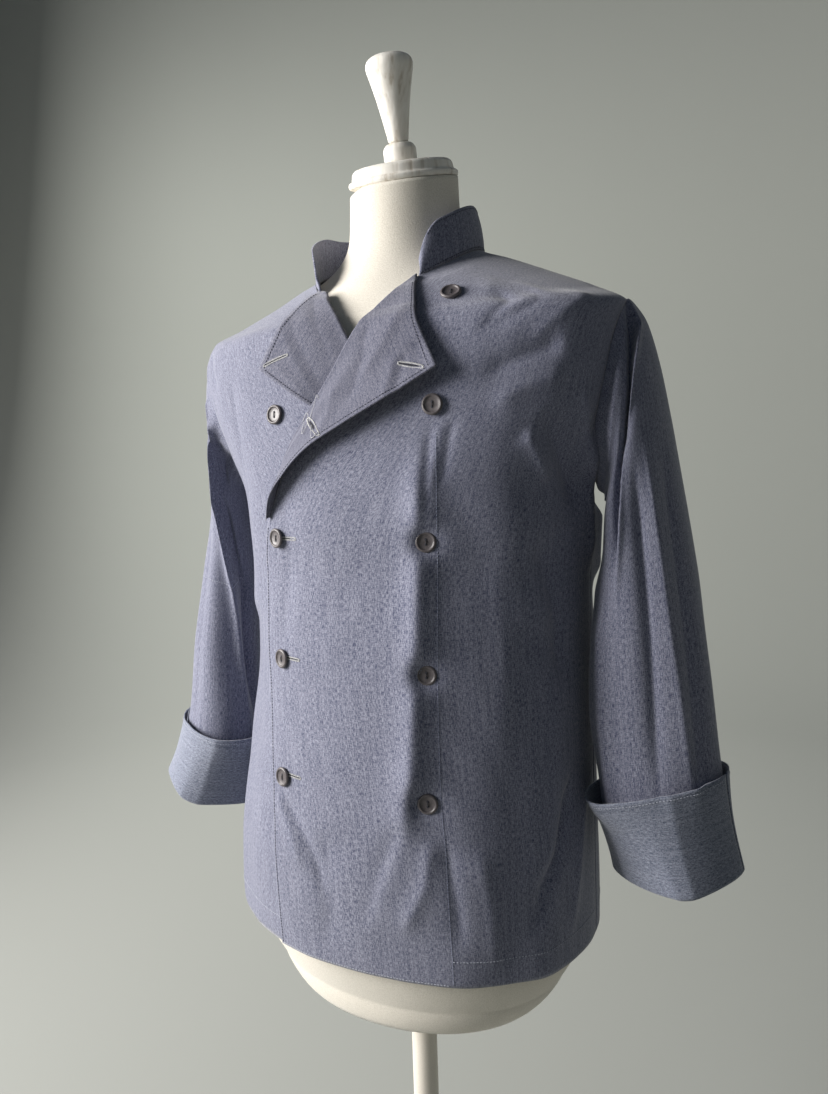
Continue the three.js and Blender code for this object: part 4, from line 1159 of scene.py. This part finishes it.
def button_shape(placing):
    """A button turned from its profile, with its holes as discs of painted shade, and its thread."""
    radius, thick = BUTTON_RADIUS / 1000, BUTTON_THICK / 1000
    shape = spin_profile([
        (0, 0), (radius - 0.0012, 0), (radius, 0.0012), (radius, thick - 0.0009), (radius - 0.0012, thick),
        (radius - 0.0022, thick), (radius - 0.0032, thick - 0.0011), (radius * 0.45, thick - 0.0015),
        (0, thick - 0.0016),
    ], 0.0004, 56, 3)
    for place in (-HOLE_PLACE, HOLE_PLACE):
        spot = Matrix.Translation((0, place / 1000, thick - HOLE_DEEP))
        hole_shade_and_thread_bead(shape, HOLE_RADIUS, spot @ Matrix.Diagonal(HOLE_FLATTEN), 16, 10)
    bridge = Matrix.Translation((0, 0, thick - THREAD_DEEP))
    hole_shade_and_thread_bead(shape, HOLE_PLACE, bridge @ Matrix.Diagonal(THREAD_FLATTEN), 10, 8)
    bmesh.ops.transform(shape, matrix=placing, verts=shape.verts)
    return shape


for label, height, across, seat in BUTTON_ROWS:
    for hand, side in (("left", 1), ("right", -1)):
        if (hand, label) == ("right", "1"):
            continue
        under = inner_lap if (hand, label) == ("right", "2") else outer_lap
        placing = button_frame(side * across, height, seat if side > 0 else 0, under)
        made = show(f"sewn_button_{hand}_{label}", button_shape(placing), polyester)
        made.data.materials.append(thread_and_hole_shade)
        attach(made, "root")
        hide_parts(f"button_{hand}_{label}")


# Topstitching: short stitches of polyester thread, sunk a little into the cloth, which hold the facing,
# the hems and every free edge. The thread is navy on the lapels, collar and front edge, made dark
# enough to also paint the shade of the puckers and shadow lines along those edges, and pale elsewhere.
STITCH_PITCH, STITCH_LENGTH, STITCH_WIDTH, STITCH_THICK, STITCH_PROUD = 3.2, 2.3, 0.8, 0.6, 0.2
EDGE_INSET, LAPEL_INSET, HEM_DEPTH, BOTTOM_INSET = 2.2, 4.5, 28, 2.2
CUFF_LINE, CUFF_LINE_START, CUFF_LINE_END = 0.04, 0.01, 0.99
FACING_LINE = table("height across", [(30, 101), (130, 98), (190, 94), (285, 92), (534, 92)])
PATH_STEPS = 500


def sew(shape, place, along, normal, sizes):
    """One stitch: an ellipsoid that lies along the seam, its sizes in millimetres."""
    beside = np.cross(normal, along)
    axes = Matrix([Vector(axis) * size / 2000 for axis, size in zip((along, beside, normal), sizes)])
    matrix = Matrix.Translation(Vector(place) / 1000) @ axes.transposed().to_4x4()
    bmesh.ops.create_icosphere(shape, subdivisions=2, radius=1, matrix=matrix)


def stitch_line(shape, path, slant=0, wide=1, pitch=STITCH_PITCH, length=STITCH_LENGTH):
    """Even stitches along a path, which gives points for a part of its length and a height over the
    cloth. A slant turns each of them across the seam."""
    part = np.linspace(0, 1, PATH_STEPS)
    steps = np.concatenate(([0], np.cumsum(np.linalg.norm(np.diff(path(part, 0), axis=0), axis=1))))
    count = int(steps[-1] / pitch)
    middle = (np.arange(count) + 0.5) * pitch
    before, at, after = (np.interp(middle + shift * length / 2, steps, part) for shift in (-1, 0, 1))
    places = path(at, STITCH_PROUD)
    along = unit(path(after, 0) - path(before, 0))
    normal = unit(path(at, 1) - path(at, 0))
    along = unit(along * math.cos(slant) + np.cross(normal, along) * math.sin(slant))
    for row in range(count):
        sizes = (length, STITCH_WIDTH * wide, STITCH_THICK * wide)
        sew(shape, places[row], along[row], normal[row], sizes)


def on_front(across_at, low, high):
    """A path on the outer front, from its low height to its high one."""
    def path(part, over):
        height = mix(low, high, part)
        turn, level = spot_at(across_at(height), height)
        return cloth_point(turn, level, outer_lap(turn, level) + over)
    return path


def on_body(out_at, first, last, height):
    """A path round the body at one height, from turn to turn."""
    def path(part, over):
        turn = mix(first, last, part)
        level = np.full_like(turn, height)
        return cloth_point(turn, level, out_at(turn, level) + over)
    return path


def on_lapel(side, out_at, start, end):
    """A path on a lapel between two spots, given as its part and the inset from its free edge."""
    def path(part, over):
        along = mix(start[0], end[0], part)
        free, fold = (lapel_flat(side, out_at, along, np.full_like(part, edge)) for edge in (1, 0))
        wide = np.linalg.norm(free - fold, axis=-1)
        inset = mix(start[1], end[1], part)
        return lapel_flat(side, out_at, along, np.clip(1 - inset / wide, 0, 1), over)
    return path


def on_collar(part_at, first, last):
    """A path round the collar at one part of its height."""
    def path(part, over):
        turn = mix(first, last, part)
        return collar_point(turn, np.full_like(turn, part_at), over)
    return path


def on_cuff(side):
    """A path along a cuff's stitched edge."""
    def path(part, over):
        around = cuff_around(mix(CUFF_LINE_START, CUFF_LINE_END, part))
        return cuff_point(side, around, np.full_like(around, CUFF_LINE), over)
    return path


def on_sleeve(side, first, last):
    """A path across a sleeve between two spots, as angle and travel."""
    def path(part, over):
        around = mix(first[0], last[0], part)
        return sleeve_out(side, around, mix(first[1], last[1], part), np.full_like(around, over))
    return path


def flat_back(turn, height):
    return np.zeros_like(turn)


def front_turn(x, height):
    """The turn of a spot on the front with the given x."""
    return float(spot_at([x], [height])[0][0])


# Dark navy thread: its own colour, darkened to carry the painted shade of the puckers and shadow lines
# along the edges it sews.
navy_thread_and_painted_shade, *_ = plain_material("navy_thread_and_painted_shade", (0.018, 0.022, 0.045), 0.7)
pale_thread, *_ = plain_material("pale_thread", (0.38, 0.4, 0.47), 0.7)
blue_thread, *_ = plain_material("blue_thread", (0.19, 0.21, 0.29), 0.7)
# Each line's name, thread, slant of its stitches, how much wider than usual they are, and its paths.
seams = [
    # The front edge's navy stitches are made wider, so that their painted shade also draws the dark line
    # along that edge.
    ("front_edge_stitches", navy_thread_and_painted_shade, 0, 1.3, [
        on_front(lambda up: read(FRONT_EDGE, "across", up) + EDGE_INSET, 2, BREAK_HEIGHT),
    ]),
    ("outer_lapel_stitches", navy_thread_and_painted_shade, 0, 1.1, [
        on_lapel(1, outer_lap, (0.16, LAPEL_INSET), (0.975, LAPEL_INSET)),
        on_lapel(1, outer_lap, (0.975, LAPEL_INSET), (0.99, 112)),
    ]),
    ("inner_lapel_stitches", navy_thread_and_painted_shade, 0.5, 1.5, [
        on_lapel(-1, inner_lap, (0.16, 3), (0.98, 3)),
        on_lapel(-1, inner_lap, (0.98, 3), (0.99, 92)),
    ]),
    ("collar_stitches", navy_thread_and_painted_shade, 0, 1, [
        on_collar(0.93, COLLAR_START + 6, COLLAR_LAST - 6),
        on_collar(0.06, COLLAR_START + 1, COLLAR_LAST - 1),
    ]),
    ("facing_stitches", blue_thread, 0, 1, [
        on_front(lambda up: read(FACING_LINE, "across", up), 3, 534),
    ]),
    ("hem_stitches", pale_thread, 0, 1.1, [
        on_body(outer_lap, front_turn(101, HEM_DEPTH), -0.6, HEM_DEPTH),
        on_body(flat_back, 0.6, 179.4, HEM_DEPTH),
        on_body(inner_lap, -179.4, front_turn(-96, HEM_DEPTH), HEM_DEPTH),
        on_body(outer_lap, front_turn(-90, BOTTOM_INSET), front_turn(100, BOTTOM_INSET), BOTTOM_INSET),
    ]),
    ("left_cuff_stitches", pale_thread, 0, 1.1, [on_cuff(1)]),
    ("right_cuff_stitches", pale_thread, 0, 1.1, [on_cuff(-1)]),
    ("right_sleeve_stitches", pale_thread, 0, 1.1, [on_sleeve(-1, (330, 0.545), (200, 0.49))]),
]
for name, thread, slant, wide, paths in seams:
    shape = bmesh.new()
    for path in paths:
        stitch_line(shape, path, slant, wide)
    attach(show(name, shape, thread), "root")


# Buttonholes: a narrow slit with pale thread worked close together along both sides and across both
# ends, with a dark sheet of painted shade sunk in the slit. Two are on the outer lapel and one on the
# inner, and three show their ends beside the buttons.
SLIT_WIDTH, WORKED_PITCH, WORKED_LENGTH, WORKED_OFF = 1, 0.8, 1.7, 1.2
WORKED_WIDTH, WORKED_THICK, WORKED_PROUD, WORKED_LEAN, LEAN_BEAT = 0.58, 0.5, 0.25, 0.25, 2.7
END_LONGER, END_CLOSED, END_ROWS, DIRECTION_STEP = 1.3, 0.5, 2, 0.02
# The sheet of painted shade in each slit: its share of the slit's length, its thickness and how far it
# sinks.
SLIT_PART, SLIT_THICK, SLIT_SUNK = 0.94, 0.3, 0.1
white_thread, *_ = plain_material("white_thread", (0.6, 0.6, 0.6), 0.6)
# Painted shade: a near-black sheet that stands for the shaded inside of each slit.
painted_slit_shade, *_ = plain_material("painted_slit_shade", (0.012, 0.013, 0.02), 0.9)


def buttonhole(name, path, gape=1):
    """Worked stitches beside the slit, which follows a path, a bar of them at each end, and a dark sheet of
    painted shade sunk in the slit.
    """
    part = np.linspace(0, 1, PATH_STEPS)
    length = np.linalg.norm(np.diff(path(part, 0), axis=0), axis=1).sum()
    count = int(length / WORKED_PITCH)
    at = (np.arange(count) + 0.5) / count
    places, normal = path(at, WORKED_PROUD), unit(path(at, 1) - path(at, 0))
    before, after = (np.clip(at + step, 0, 1) for step in (-DIRECTION_STEP, DIRECTION_STEP))
    along = unit(path(after, 0) - path(before, 0))
    beside = np.cross(normal, along)
    shape = bmesh.new()
    for row in range(count):
        end = min(row, count - 1 - row) < END_ROWS
        open_by = WORKED_OFF * (1 + (gape - 1) * math.sin(math.pi * at[row]))
        for hand in (-1, 1):
            place = places[row] + beside[row] * hand * (open_by * (END_CLOSED if end else 1))
            leaning = unit(beside[row] + along[row] * WORKED_LEAN * math.sin(LEAN_BEAT * row))
            length_here = WORKED_LENGTH * (END_LONGER if end else 1)
            sew(shape, place, leaning, normal[row], (length_here, WORKED_WIDTH, WORKED_THICK))
    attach(show(f"{name}_stitches", shape, white_thread), "root")
    middle = count // 2
    shape = bmesh.new()
    slit_shade_sizes = (length * SLIT_PART, SLIT_WIDTH * gape, SLIT_THICK)
    # The slit's dark inside is painted shade, a flat dark sheet just under the thread.
    sew(shape, places[middle] - normal[middle] * SLIT_SUNK, along[middle], normal[middle], slit_shade_sizes)
    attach(show(f"{name}_slit", shape, painted_slit_shade), "root")


def across_lapel(side, out_at, first, last, bow=0, loop=0):
    """A path on a lapel between two spots, given as part and across. It can bow aside and stand off."""
    def path(part, over):
        hump = np.sin(math.pi * part)
        across = mix(first[1], last[1], part) + bow * hump
        return lapel_flat(side, out_at, mix(first[0], last[0], part), across, over + loop * hump)
    return path


def beside_button(height, first, last):
    """A level path on the outer front, under a button of the right column."""
    def path(part, over):
        turn, level = spot_at(mix(first, last, part), np.full_like(part, height))
        return cloth_point(turn, level, outer_lap(turn, level) + over)
    return path


buttonhole("upper_buttonhole", across_lapel(1, outer_lap, (0.889, 0.729), (0.961, 0.943)), 1.6)
buttonhole("middle_buttonhole", across_lapel(1, outer_lap, (0.475, 0.22), (0.578, 0.97)), 2.6)
buttonhole("inner_buttonhole", across_lapel(-1, inner_lap, (0.985, 0.957), (0.912, 0.716)))
HOLE_FIRST, HOLE_LAST = -86, -57
for label, height in (("3", 432), ("4", 310), ("5", 189)):
    buttonhole(f"buttonhole_{label}", beside_button(height, HOLE_FIRST, HOLE_LAST))

# The middle one is worn: a few of its threads have come loose at the upper end.
LOOSE_PITCH, LOOSE_LENGTH, LOOSE_WIDE, LOOSE_LOOP = 0.8, 1.5, 0.55, 1.6
shape = bmesh.new()
for first, last, bow in (
    ((0.48, 0.25), (0.425, 0.02), -0.14),
    ((0.49, 0.32), (0.445, 0.12), 0.3),
    ((0.5, 0.4), (0.53, 0.1), -0.25),
    ((0.57, 0.85), (0.52, 0.55), 0.2),
):
    thread_path = across_lapel(1, outer_lap, first, last, bow, LOOSE_LOOP)
    stitch_line(shape, thread_path, 0, LOOSE_WIDE, LOOSE_PITCH, LOOSE_LENGTH)
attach(show("loose_threads", shape, white_thread), "root")
